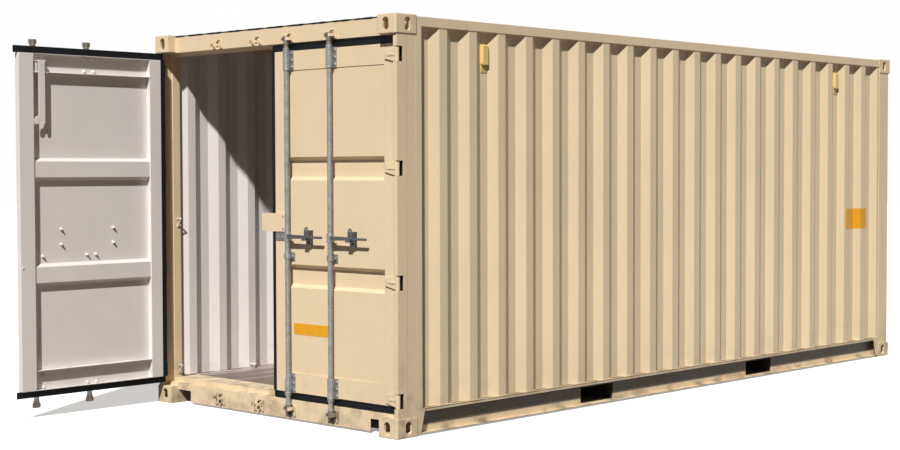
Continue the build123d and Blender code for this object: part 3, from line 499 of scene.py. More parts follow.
def floor_board_material(name):
    """Worn plywood boards with grain, scuffs and a shinier track, whose lighter colour is partly wear and
    partly a painted sheen.
    """
    settings = bpy.context.scene.container_paint
    material, tree, _ = new_material(name)
    place = object_place(tree)
    grain = noise(tree, stretched(tree, place, (2.2, 60.0, 8.0)), 1.0, 8.0, 0.65)
    stain = noise(tree, place, 1.6, 5.0, 0.6)
    scuff = noise(tree, stretched(tree, place, (0.7, 9.0, 1.0)), 1.0, 6.0, 0.6)
    wood = put(
        tree, "HueSaturation",
        {"Color": linear(settings.wood), "Value": spread(tree, grain, 0.30, 0.70, 0.65, 1.30)},
    ).outputs[0]
    stained, muddy, polished_sheen = (
        linear(tone) for tone in ((0.10, 0.08, 0.07), (0.07, 0.055, 0.045), (0.46, 0.42, 0.40))
    )
    wood = mix(tree, spread(tree, stain, 0.45, 0.70, 0.0, 0.55), wood, stained)
    trodden = spread(tree, parted(tree, place)["X"], -1.9, -2.8, 0.0, 0.45)
    wood = mix(tree, trodden, wood, muddy)
    track = spread(tree, scuff, 0.50, 0.66)
    # The lighter colour on the track is partly wear and partly a painted sheen
    wood = mix(tree, calc(tree, "MULTIPLY", track, 0.45), wood, polished_sheen)
    shine = spread(tree, track, 0.0, 1.0, 0.62, 0.30)
    return finish_material(material, wood, shine, grain, 0.5, 0.001)


# Short ways to build meshes, in metres

def skin(mesh, rings):
    """Joins a row of rings of points into a closed solid."""
    count = len(rings[0])
    for low, high in zip(rings, rings[1:]):
        for i in range(count):
            j = (i + 1) % count
            mesh.faces.new((low[i], low[j], high[j], high[i]))
    mesh.faces.new(list(reversed(rings[0])))
    mesh.faces.new(rings[-1])


def lathe(mesh, centre, axis, profile, sides, spin=0.0):
    """Rings of (radius, height) round an axis, closed at both ends."""
    along = Vector(axis).normalized()
    across = along.orthogonal().normalized()
    across = Matrix.Rotation(spin, 3, along) @ across
    up = along.cross(across)
    rings = []
    for radius, rise in profile:
        ring = []
        for i in range(sides):
            angle = math.tau * i / sides
            offset = across * math.cos(angle) * radius + up * math.sin(angle) * radius
            ring.append(mesh.verts.new(Vector(centre) + along * rise + offset))
        rings.append(ring)
    skin(mesh, rings)


def hex_bolt(mesh, centre, axis, radius, spin=0.0):
    """A washer and a six sided head with eased corners."""
    washer = [(radius * 1.35, 0), (radius * 1.35, radius * 0.22), (radius * 1.2, radius * 0.30)]
    lathe(mesh, centre, axis, washer, 16)
    top = radius * 1.05
    head = [(radius, radius * 0.30), (radius, top - radius * 0.18), (radius * 0.82, top)]
    lathe(mesh, centre, axis, head, 6, spin)


def dome_bolt(mesh, centre, axis, radius):
    """A round headed bolt with its square neck hidden."""
    dome = [
        (radius, 0), (radius, radius * 0.16), (radius * 0.86, radius * 0.38),
        (radius * 0.58, radius * 0.56), (radius * 0.2, radius * 0.64),
    ]
    lathe(mesh, centre, axis, dome, 14)


def nut_and_end(mesh, centre, axis, radius, length):
    """A nut on its washer, with the bolt's end standing out of it."""
    hex_bolt(mesh, centre, axis, radius, 0.3)
    end = [
        (radius * 0.55, radius * 0.9), (radius * 0.55, length - radius * 0.15), (radius * 0.40, length),
    ]
    lathe(mesh, centre, axis, end, 10)


def tube(mesh, points, radius, sides=6, ripple=0.0):
    """A round bead through a row of points."""
    points = [Vector(p) for p in points]
    rings = []
    for i, point in enumerate(points):
        before = points[max(i - 1, 0)]
        after = points[min(i + 1, len(points) - 1)]
        along = (after - before).normalized()
        across = along.cross(Vector((0.31, 0.17, 0.93))).normalized()
        up = along.cross(across)
        size = radius * (1 + ripple * math.sin(i * 2.4) * 0.5 + ripple * math.sin(i * 5.1) * 0.5)
        ring = []
        for k in range(sides):
            angle = math.tau * k / sides
            ring.append(mesh.verts.new(point + (across * math.cos(angle) + up * math.sin(angle)) * size))
        rings.append(ring)
    skin(mesh, rings)


def weld(mesh, start, end, radius, step=0.012):
    """A weld bead along a straight seam."""
    start, end = Vector(start), Vector(end)
    count = max(2, int((end - start).length / step))
    tube(mesh, [start.lerp(end, i / count) for i in range(count + 1)], radius, 6, 0.35)


def plate(mesh, outline, thick_from, thick_to, axis, ease=0.0008):
    """A flat plate with one rim eased. outline holds the other two coordinates, in order."""
    middle = [sum(pair[k] for pair in outline) / len(outline) for k in (0, 1)]

    def spot(pair, depth, shrink):
        place = []
        for k in (0, 1):
            lean = pair[k] - middle[k]
            place.append(pair[k] - math.copysign(min(shrink, abs(lean)), lean))
        place.insert(axis, depth)
        return mesh.verts.new(place)

    toward = math.copysign(ease, thick_to - thick_from)
    levels = [(thick_from, 0.0), (thick_to - toward, 0.0), (thick_to, ease)]
    rings = [[spot(pair, depth, shrink) for pair in outline] for depth, shrink in levels]
    skin(mesh, rings)


def box_outline(a0, a1, b0, b1):
    """The four corners of a plate."""
    return [(a0, b0), (a1, b0), (a1, b1), (a0, b1)]


LEFT_OPEN = math.radians(joint_places["left_door_swing"]["range_deg"][1])
HINGE = Vector(joint_places["left_door_swing"]["pos_m"])
PLACES = {
    "box": Matrix.Identity(4),
    "left": Matrix.Translation(HINGE) @ Matrix.Rotation(-LEFT_OPEN, 4, "Z") @ Matrix.Translation(-HINGE),
    "right": Matrix.Diagonal((1, -1, 1, 1)),
}


def finish_piece(name, mesh, material, body, place="box", smooth=True):
    """Turns a built mesh into a piece that rides on a body."""
    bmesh.ops.transform(mesh, matrix=PLACES[place], verts=mesh.verts)
    bmesh.ops.recalc_face_normals(mesh, faces=mesh.faces)
    data = bpy.data.meshes.new(name)
    mesh.to_mesh(data)
    mesh.free()
    data.materials.append(material)
    piece = bpy.data.objects.new(name, data)
    bpy.context.scene.collection.objects.link(piece)
    if smooth:
        data.shade_smooth()
        data.set_sharp_from_angle(angle=math.radians(35))
    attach(piece, body)
    return piece


def dress(names, material):
    """Gives CAD nodes a material."""
    for name in names:
        node = nodes[name]
        if not node.material_slots:
            raise RuntimeError(f"{name} has no material slot")
        for place in node.material_slots:
            place.material = material


def both_sides(names):
    """The left and the right node of each name."""
    return [f"{side}_{name}" for side in ("left", "right") for name in names]


def bar_place(name):
    """How far a bar stands from the middle line when its leaf is shut."""
    return abs(joint_places[f"right_{name}_bar_turn"]["pos_m"][1])


# Folds of the side walls

FOLD_START = WALL_LOW.x + 0.005
FOLD_PITCH = 0.273
FOLD_SLOPE = 0.068
FOLD_FLAT = 0.070
FOLD_DEPTH = 0.036
FOLD_COUNT = 21

# Label panels: from and to along the wall or across the leaf, then from and to in height
SIDE_LABEL = (2.298, 2.704, 1.131, 1.303)
DOOR_LABEL = (0.190, 0.521, 0.570, 0.645)


def fold_corners():
    """(x, share of depth) of every fold of a side wall."""
    corners = [(WALL_LOW.x, 0.0)]
    dip = FOLD_PITCH - FOLD_FLAT - 2 * FOLD_SLOPE
    for i in range(FOLD_COUNT):
        at = FOLD_START + i * FOLD_PITCH
        away = at + FOLD_SLOPE + dip
        corners += [(at, 0.0), (at + FOLD_SLOPE, 1.0), (away, 1.0), (away + FOLD_SLOPE, 0.0)]
    corners.append((WALL_HIGH.x, 0.0))
    return corners


def wall_depth(x):
    """Share of the fold's depth at a place along the wall."""
    corners = fold_corners()
    for (x0, d0), (x1, d1) in zip(corners, corners[1:]):
        if x0 <= x <= x1:
            return d0 if x1 == x0 else d0 + (d1 - d0) * (x - x0) / (x1 - x0)
    raise RuntimeError(f"{x} is off the wall")


class CONTAINER_OT_paint_frame(bpy.types.Operator):
    """Paints the posts, rails, castings and the underside"""

    bl_idname = "container.paint_frame"
    bl_label = "Paint frame"

    def execute(self, context):
        paint = context.scene.container_paint
        tan = paint.outside
        dress(
            ["door_header", "front_top_rail", "front_bottom_rail", "front_posts"],
            paint_material("frame_paint", tan, rust=0.35, streaks=0.25, splash=0.45),
        )
        # Painted shade: the sill's hollow inside is dark where it shows at the end notches
        dress(
            ["door_sill"],
            paint_material(
                "sill_paint", tan, paint.underseal_and_shade, sill_hollow_shade, rust=0.5, streaks=0.25,
                splash=0.45, dirt=1.3,
            ),
        )
        top_rail = paint_material("top_rail_paint", tan, rust=0.5, streaks=0.2)
        dress(["top_rail_left", "top_rail_right"], top_rail)
        # Painted shade and grime: the deep part of the bottom rails is darkened
        dress(
            ["bottom_rail_left", "bottom_rail_right", "pocket_rail_edges"],
            paint_material(
                "bottom_rail_paint", tan, paint.grime_and_recess_shade, rail_recess_shade, rust=0.9, streaks=0.3, splash=0.4,
                wear=1.5, dirt=1.5,
            ),
        )
        # Painted shade: the hollow bars seen at the hinge notches are darkened
        dress(
            ["door_post_left", "door_post_right"],
            paint_material("door_post_paint", tan, paint.grime_and_recess_shade, hinge_notch_shade, rust=0.35, streaks=0.2),
        )
        dress(["corner_castings_bottom", "corner_castings_top"], cast_material("cast_paint", tan))
        dress(
            ["cross_members", "fork_pockets", "fork_pocket_plates"],
            paint_material(
                "underside_coat", paint.underseal_and_shade, rust=1.0, streaks=0.3, splash=0.5, wear=1.0,
                dirt=0.7, rough=0.7,
            ),
        )
        threshold = paint_material("threshold_paint", tan, rust=0.5, streaks=0.1, splash=0.4, wear=1.8)
        dress(["threshold_plate"], threshold)
        keeper = paint_material(
            "keeper_paint", tan, rust=2.6, streaks=0.9, wear=0.2, reach=0.002, dirt=2.4
        )
        dress(["sill_keepers", "header_keepers"], keeper)
        loop = paint_material("loop_paint", paint.inside, rust=0.8, wear=1.6, reach=0.002)
        dress(["lashing_loops"], loop)
        return {"FINISHED"}


class CONTAINER_OT_paint_skin(bpy.types.Operator):
    """Paints the walls and the roof, sand outside and grey inside, and the floor"""

    bl_idname = "container.paint_skin"
    bl_label = "Paint skin"

    def execute(self, context):
        paint = context.scene.container_paint
        sheets = {
            "side_wall_left": (0, 1, 0), "side_wall_right": (0, -1, 0),
            "front_wall": (1, 0, 0), "roof_panel": (0, 0, 1),
        }
        for name, outward in sheets.items():
            material = paint_material(
                f"{name}_paint", paint.outside, paint.inside, outward, rust=0.14, streaks=0.22,
                splash=0.55, reach=0.006, wear=0.25, bump=0.0012, dirt=0.55,
            )
            dress([name], material)
        dress(["floor_boards"], floor_board_material("floor_plywood"))
        vent = paint_material("vent_paint", paint.vent, rust=0.3, streaks=0.5, reach=0.003)
        dress(["vent_covers"], vent)
        return {"FINISHED"}


class CONTAINER_OT_paint_doors(bpy.types.Operator):
    """Paints both door leaves, their hinges and the lock plate"""

    bl_idname = "container.paint_doors"
    bl_label = "Paint doors"

    def execute(self, context):
        paint = context.scene.container_paint
        shut = leaf_face + 0.0025
        opened = HINGE.y - (shut - HINGE.x)
        ways = {"left": (("Y", opened, -1.0), (0, 1, 0)), "right": (("X", shut, 1.0), (-1, 0, 0))}
        for side, (tube_side, outward) in ways.items():
            dress(
                [f"{side}_leaf_frame"],
                paint_material(
                    f"{side}_leaf_tube_paint", paint.outside, paint.inside, tube_side, rust=0.2,
                    streaks=0.2, splash=0.5, reach=0.003, dirt=0.6,
                ),
            )
            dress(
                [f"{side}_leaf_panel"],
                paint_material(
                    f"{side}_leaf_sheet_paint", paint.outside, paint.inside, outward, rust=0.1,
                    streaks=0.2, splash=0.6, wear=0.3, bump=0.0012, dirt=0.4,
                ),
            )
        hinge = paint_material("hinge_paint", paint.outside, rust=0.5, streaks=0.3, wear=1.5, reach=0.002)
        dress(both_sides(["hinge_blades"]) + ["lock_plate"], hinge)
        return {"FINISHED"}


class CONTAINER_OT_coat_hardware(bpy.types.Operator):
    """Gives the locking gear its zinc coat, and the seals their rubber"""

    bl_idname = "container.coat_hardware"
    bl_label = "Coat hardware"

    def execute(self, context):
        dress(both_sides(["inner_bar", "outer_bar"]), zinc_material("bar_zinc", darker_part=bar_ends))
        dress(both_sides(["bar_guides"]), zinc_material("guide_zinc"))
        dress(
            both_sides(["inner_handle", "outer_handle", "handle_catches"]),
            zinc_material("handle_zinc", 0.85, 0.42),
        )
        # The hinge pins are dull steel, darkened further as painted shade round the hinge blades
        dress(["hinge_pins"], zinc_material("pin_steel_painted_shade", 0.8, 0.4))
        dress(both_sides(["gasket"]), rubber_material("seal_rubber"))
        return {"FINISHED"}


class CONTAINER_OT_add_welds(bpy.types.Operator):
    """Adds the weld beads of the frame and of the wall sheets"""

    bl_idname = "container.add_welds"
    bl_label = "Welds"

    def execute(self, context):
        bead = context.scene.container_trim.weld
        tan = context.scene.container_paint.outside
        material = paint_material("weld_paint", tan, rust=0.7, wear=1.2, reach=0.002)
        self.weld_walls(bead, material)
        self.weld_frame(bead, material)
        self.darken_roof_edge(bead)
        return {"FINISHED"}

    def weld_walls(self, bead, material):
        """Beads along the upper and lower ends of the side walls' folds."""
        mesh = bmesh.new()
        for sign in (-1, 1):
            outer = sign * -WALL_LOW.y
            for level in (WALL_LOW.z + bead * 0.5, WALL_HIGH.z - bead * 0.5):
                line = [
                    (x, outer - sign * (FOLD_DEPTH * share - 0.0005), level)
                    for x, share in fold_corners()
                ]
                tube(mesh, line, bead)
        finish_piece("wall_seam_welds", mesh, material, "box")

    def weld_frame(self, bead, material):
        """Beads where the posts, the header and the sill meet the castings and each other."""
        low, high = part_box("door_post_right")
        back_low, back_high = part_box("front_posts")
        head_low, head_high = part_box("door_header")
        sill_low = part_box("door_sill")[0]
        casting_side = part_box("front_wall")[1].y
        bar_length, bar_lip, bar_seam = 0.113, 0.033, 0.082
        chamfer, notch_height = 0.014, 0.0825
        mesh = bmesh.new()
        for sign in (-1, 1):
            outer = sign * -low.y
            seam = low.x + bar_seam
            seams = []
            for z in (low.z, high.z):
                # This bead doesn't hang on z, so it is laid twice in the same place
                weld(mesh, (seam, outer, low.z), (seam, outer, high.z), bead * 0.35, 0.06)
                lip = sign * (-low.y - bar_lip)
                back_side = sign * (casting_side + RUN_IN)
                seams += [
                    ((low.x, outer, z), (low.x, lip, z)),
                    ((low.x, outer, z), (low.x + bar_length, outer, z)),
                    ((back_high.x, outer - sign * chamfer, z), (back_high.x, back_side, z)),
                    ((back_high.x - chamfer, outer, z), (back_low.x + RUN_IN, outer, z)),
                ]
            head, sill, edge = head_low.x, sill_low.x, sign * casting_side
            lip = sign * (head_high.y - RUN_IN)
            top = high.z + RUN_IN
            seams += [
                ((head, edge, head_high.z - 0.002), (head, edge, top)),
                ((sill, edge, sill_low.z + notch_height), (sill, edge, low.z - RUN_IN)),
                ((head, edge, top), (head, lip, top)),
                ((sill, edge, low.z), (sill, lip, low.z)),
            ]
            for start, end in seams:
                weld(mesh, start, end, bead)
        finish_piece("frame_welds", mesh, material, "box")

    def darken_roof_edge(self, bead):
        """A dark bead along the roof's edge over the doors."""
        head_low, head_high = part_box("door_header")
        x, z = head_low.x + 0.002, head_high.z
        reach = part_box("front_wall")[1].y - 0.002
        mesh = bmesh.new()
        weld(mesh, (x, -reach, z), (x, reach, z), bead * 2.2, 0.04)
        finish_piece("roof_edge_dark_bead", mesh, rubber_material("dark_roof_edge"), "box")


class CONTAINER_OT_add_edge_strips(bpy.types.Operator):
    """Adds the strips where the side walls meet the door posts and the bottom rails"""

    bl_idname = "container.add_edge_strips"
    bl_label = "Edge strips"

    def execute(self, context):
        trim = context.scene.container_trim
        tan = context.scene.container_paint.outside
        material = paint_material(
            "edge_strip_paint", tan, rust=0.5, streaks=0.3, splash=0.6, reach=0.002, dirt=1.2
        )
        outer = -WALL_LOW.y
        raised, sunk = outer + 0.0036, outer - 0.0040
        foot, top = WALL_LOW.z - 0.0002, WALL_HIGH.z + 0.0002
        start = WALL_LOW.x - 0.005
        end = WALL_LOW.x + trim.edge_strip
        mesh = bmesh.new()
        for sign in (-1, 1):
            fold = [
                (start, sign * outer), (start, sign * raised), (end, sign * raised), (end, sign * sunk),
                (end - STRIP_SHEET, sign * sunk), (end - STRIP_SHEET, sign * outer),
            ]
            plate(mesh, fold, foot, top, 2, 0.0004)
        finish_piece("post_edge_strips", mesh, material, "box", smooth=False)
        mesh = bmesh.new()
        for sign in (-1, 1):
            back, front = sign * (outer - STRIP_SHEET), sign * (outer + 0.0008)
            for x0, x1 in ((WALL_LOW.x, 0.0), (0.0, WALL_HIGH.x)):
                outline = box_outline(x0, x1, WALL_LOW.z - trim.foot_strip, foot)
                plate(mesh, outline, back, front, 1, 0.0003)
        finish_piece("wall_foot_strips", mesh, material, "box", smooth=False)
        return {"FINISHED"}


class CONTAINER_OT_add_seal_lips(bpy.types.Operator):
    """Adds the seals' lips on the hinge side of both doors, and their upper corners; the black lips are
    partly real seal and partly painted shade in the gap at the hinge edge
    """

    bl_idname = "container.add_seal_lips"
    bl_label = "Seal lips"

    def execute(self, context):
        # The black lip is partly real seal and partly painted shade in the gap beside the hinge edge
        material = rubber_material("seal_lip_rubber_and_shade")
        lip = [
            (leaf_back, leaf_edge - 0.024), (leaf_back + 0.0025, leaf_edge - 0.024),
            (leaf_back + 0.0035, leaf_edge - 0.006), (leaf_back + 0.0055, leaf_edge + 0.005),
            (leaf_back + 0.0045, leaf_edge + 0.009), (leaf_back, leaf_edge + 0.004),
        ]
        for side in ("left", "right"):
            mesh = bmesh.new()
            plate(mesh, lip, LEAF_LOW.z, LEAF_HIGH.z, 2, 0.0006)
            corner = box_outline(
                leaf_edge - 0.075, leaf_edge - 0.002, LEAF_HIGH.z + 0.001, LEAF_HIGH.z + 0.046
            )
            plate(mesh, corner, leaf_face + 0.0080, leaf_face - 0.0010, 0, 0.0010)
            finish_piece(f"{side}_seal_lip", mesh, material, f"{side}_door", side)
        return {"FINISHED"}


class CONTAINER_OT_add_floor_sealant(bpy.types.Operator):
    """Adds the pale sealant along the edges of the floor"""

    bl_idname = "container.add_floor_sealant"
    bl_label = "Floor sealant"

    def execute(self, context):
        low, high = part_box("floor_boards")
        grey = context.scene.container_paint.inside
        material = paint_material("pale_sealant", grey, rust=0.1, streaks=0.2, reach=0.001)
        mesh = bmesh.new()
        line, step = 0.0045, 0.05
        for y in (low.y, high.y):
            weld(mesh, (low.x, y, high.z), (high.x, y, high.z), line, step)
        finish_piece("floor_sealant", mesh, material, "box")
        return {"FINISHED"}


class CONTAINER_OT_add_vent_screws(bpy.types.Operator):
    """Adds the screws that hold the ventilators"""

    bl_idname = "container.add_vent_screws"
    bl_label = "Vent screws"

    def execute(self, context):
        low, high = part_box("vent_covers")
        material = zinc_material("vent_screw_zinc", 1.0)
        mesh = bmesh.new()
        inner = -WALL_LOW.y - FOLD_DEPTH
        half_width, head = 0.031, 0.0055
        rows = ((0.016, inner + 0.0005, high.z + 0.010), (0.015, inner + 0.0030, low.z + 0.010))
        for sign in (-1, 1):
            for x in (low.x + half_width, high.x - half_width):
                for apart, y, z in rows:
                    for shift in (-apart, apart):
                        dome_bolt(mesh, (x + shift, sign * y, z), (0, sign, 0), head)
        finish_piece("vent_screws", mesh, material, "box")
        return {"FINISHED"}


class CONTAINER_OT_add_floor_screws(bpy.types.Operator):
    """Adds the rows of screws that hold the floor boards"""

    bl_idname = "container.add_floor_screws"
    bl_label = "Floor screws"

    def execute(self, context):
        radius = context.scene.container_trim.screw
        low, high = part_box("floor_boards")
        member_low, member_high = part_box("cross_members")
        head = [(radius, -0.0008), (radius, 0.0004), (radius * 0.7, 0.0007), (radius * 0.25, -0.0002)]
        spaces, gaps, half_flange, from_end, from_side = 15, 9, 0.0225, 0.02, 0.06
        first, last = member_low.x + half_flange, member_high.x - half_flange
        width = high.y - low.y - 2 * from_side
        mesh = bmesh.new()
        for i in range(spaces + 1):
            x = first + (last - first) * i / spaces
            if not low.x + from_end < x < high.x - from_end:
                continue
            for k in range(gaps + 1):
                y = low.y + from_side + width * k / gaps
                lathe(mesh, (x, y, high.z), (0, 0, 1), head, 10)
        finish_piece("floor_screws", mesh, zinc_material("floor_screw_zinc", 1.0), "box")
        return {"FINISHED"}


class CONTAINER_OT_add_labels(bpy.types.Operator):
    """Adds the two plain amber label panels"""

    bl_idname = "container.add_labels"
    bl_label = "Label panels"

    def execute(self, context):
        lift = context.scene.container_trim.label_lift
        material = paint_material(
            "label_amber", context.scene.container_paint.label, rust=0.05, streaks=0.4, wear=0.4,
            reach=0.001, bump=0.0003, rough=0.35, dirt=0.7,
        )
        x0, x1, z0, z1 = SIDE_LABEL
        xs = sorted({x0, x1} | {x for x, _ in fold_corners() if x0 < x < x1})
        rim = 0.0004
        mesh = bmesh.new()
        rows = []
        for z, out in ((z0, 0.0), (z0 + rim, lift), (z1 - rim, lift), (z1, 0.0)):
            depths = [WALL_LOW.y + FOLD_DEPTH * wall_depth(x) - out for x in xs]
            rows.append([mesh.verts.new((x, y, z)) for x, y in zip(xs, depths)])
        for low, high in zip(rows, rows[1:]):
            for i in range(len(xs) - 1):
                mesh.faces.new((low[i], low[i + 1], high[i + 1], high[i]))
        for i in (0, len(xs) - 1):
            mesh.faces.new([row[i] for row in rows])
        finish_piece("side_label_panel", mesh, material, "box", smooth=False)
        mesh = bmesh.new()
        plate(mesh, box_outline(*DOOR_LABEL), PANEL_LOW.x, PANEL_LOW.x - lift, 0, 0.0003)
        finish_piece("door_label_panel", mesh, material, "right_door", "right", smooth=False)
        return {"FINISHED"}


class CONTAINER_OT_add_guide_bolts(bpy.types.Operator):
    """Adds the bolts of the bar guides outside both doors, and the nuts inside"""

    bl_idname = "container.add_guide_bolts"
    bl_label = "Guide bolts"

    def execute(self, context):
        grey = context.scene.container_paint.inside
        zinc = zinc_material("guide_bolt_zinc", 0.1)
        paint = paint_material("inner_bolt_paint", grey, rust=1.0, wear=2.0, reach=0.002)
        for side in ("left", "right"):
            self.bolt_outside(side, context.scene.container_trim, zinc)
            self.nut_inside(side, context.scene.container_trim, paint)
        return {"FINISHED"}

    def bolt_outside(self, side, trim, material):
        """The bolt heads on the guides and the catches of one door."""
        low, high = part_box("right_bar_guides")
        face, half_guide = leaf_face - 0.004, 0.065
        mesh = bmesh.new()
        for name in ("inner", "outer"):
            y = bar_place(name)
            for middle in (low.z + half_guide, high.z - half_guide):
                for rise in (-0.045, 0.0, 0.045):
                    hex_bolt(mesh, (face, y + 0.034, middle + rise), (-1, 0, 0), trim.bolt, rise)
            catch = (face, y - 0.0245, HANDLE_LEVEL - 0.113)
            hex_bolt(mesh, catch, (-1, 0, 0), trim.bolt * 0.7, 0.4)
        finish_piece(f"{side}_guide_bolts", mesh, material, f"{side}_door", side)

    def nut_inside(self, side, trim, material):
        """The nuts inside one door: behind the catches on the sheet, behind the guides on the frame."""
        sheet, web = PANEL_LOW.x + LEAF_SHEET, leaf_face + 0.004
        nearest = -PANEL_HIGH.y + 0.012
        low_catch = HANDLE_LEVEL - 0.138
        spots = [
            (sheet, 0.040, low_catch), (sheet, 0.184, HANDLE_LEVEL + 0.040),
            (sheet, 0.184, HANDLE_LEVEL - 0.062), (sheet, -0.030, low_catch),
        ]
        top, foot = LEAF_HIGH.z, LEAF_LOW.z
        for level in (top - 0.018, top - 0.104, foot + 0.098, foot + 0.016):
            spots += [(web, -0.036, level), (web, 0.036, level)]
        mesh = bmesh.new()
        for name in ("inner", "outer"):
            for x, shift, level in spots:
                y = bar_place(name) + shift
                if y > nearest:
                    nut_and_end(mesh, (x, y, level), (1, 0, 0), trim.nut, trim.bolt_end)
        stud = (leaf_back, leaf_meeting + 0.013, HANDLE_LEVEL - 0.207)
        dome_bolt(mesh, stud, (1, 0, 0), trim.nut * 0.8)
        finish_piece(f"{side}_inner_bolts", mesh, material, f"{side}_door", side)


class CONTAINER_OT_add_leaf_seams(bpy.types.Operator):
    """Adds the weld seams above and below the sheet of each door leaf"""

    bl_idname = "container.add_leaf_seams"
    bl_label = "Leaf seams"

    def execute(self, context):
        bead = context.scene.container_trim.weld * 0.75
        paint = context.scene.container_paint
        outer = paint_material("leaf_seam_paint", paint.outside, rust=0.4, reach=0.002)
        inner = paint_material("inner_seam_paint", paint.inside, rust=0.4, reach=0.002)
        seams = (
            ("outer", PANEL_LOW.x, outer, "tan_paint"),
            ("inner", PANEL_LOW.x + LEAF_SHEET, inner, "inside_paint"),
        )
        for side in ("left", "right"):
            for name, x, material, slot in seams:
                mesh = bmesh.new()
                for z in (PANEL_LOW.z + bead * 0.4, PANEL_HIGH.z - bead * 0.4):
                    weld(mesh, (x, -PANEL_HIGH.y, z), (x, -PANEL_LOW.y, z), bead, 0.02)
                finish_piece(f"{side}_{name}_seams", mesh, material, f"{side}_door", side)
        return {"FINISHED"}


class CONTAINER_OT_add_holding_strap(bpy.types.Operator):
    """Adds the strap with its hook that hangs inside the left door, and its bracket"""

    bl_idname = "container.add_holding_strap"
    bl_label = "Holding strap"

    def execute(self, context):
        trim = context.scene.container_trim
        grey = context.scene.container_paint.inside
        material = paint_material("strap_paint", grey, rust=0.5, wear=1.2, reach=0.002)
        y0 = leaf_meeting + 0.143
        y1 = y0 + trim.strap_width
        top = LEAF_HIGH.z - 0.042
        foot = top - trim.strap_length
        back, front, rim = leaf_back + 0.0006, leaf_back + 0.0056, 0.0008
        outline = [
            (y0, foot + 0.071), (y0, top - 0.004), (y0 + 0.004, top), (y1 - 0.004, top), (y1, top - 0.004),
            (y1, foot + 0.012), (y1 - 0.010, foot), (y1 - 0.022, foot), (y1 - 0.024, foot + 0.024),
            (y0 + 0.004, foot + 0.030), (y0 - 0.004, foot + 0.004), (y0 - 0.030, foot + 0.002),
            (y0 - 0.034, foot + 0.030), (y0 - 0.022, foot + 0.052), (y0 - 0.006, foot + 0.058),
        ]
        mesh = bmesh.new()
        rings = []
        for depth, shrink in ((back, 0.0), (front - rim, 0.0), (front, rim)):
            inward = [shrink if y < (y0 + y1) / 2 else -shrink for y, _ in outline]
            rings.append([mesh.verts.new((depth, y + lean, z)) for (y, z), lean in zip(outline, inward)])
        skin(mesh, rings)
        web, cheek = leaf_face + 0.004, leaf_back - 0.004
        under, low = top - 0.010, top - 0.088
        plate(mesh, box_outline(web, back, y0 - 0.030, y1 + 0.010), under, top - 0.003, 2)
        plate(mesh, box_outline(y0 - 0.028, y0 - 0.001, low, under), leaf_back - 0.010, cheek, 0)
        plate(mesh, box_outline(web, cheek, y0 - 0.028, y0 - 0.022), low, under, 2)
        finish_piece("left_holding_strap", mesh, material, "left_door", "left")
        return {"FINISHED"}


class CONTAINER_OT_add_lock_plate_trim(bpy.types.Operator):
    """Adds the bolts of the lock plate on the right door, and the lug under it"""

    bl_idname = "container.add_lock_plate_trim"
    bl_label = "Lock plate bolts"

    def execute(self, context):
        low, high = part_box("lock_plate")
        material = zinc_material("lock_bolt_zinc", 0.6)
        mesh = bmesh.new()
        bolt, from_edge, from_end = 0.007, 0.018, 0.020
        for z in (low.z + from_end, high.z - from_end):
            dome_bolt(mesh, (low.x, -low.y - from_edge, z), (-1, 0, 0), bolt)
        finish_piece("lock_plate_bolts", mesh, material, "right_door", "right")
        material = zinc_material("lug_zinc", 0.9)
        mesh = bmesh.new()
        y0, y1, z0, z1 = -low.y - 0.096, -low.y - 0.014, low.z - 0.058, low.z - 0.002
        face = leaf_face - 0.005
        plate(mesh, box_outline(y0, y1, z0, z1), leaf_face, face, 0)
        bolt, rise = 0.008, 0.022
        for y in (y0 + from_end, y1 - from_end):
            dome_bolt(mesh, (face, y, z0 + rise), (-1, 0, 0), bolt)
        finish_piece("lock_plate_lug", mesh, material, "right_door", "right")
        return {"FINISHED"}


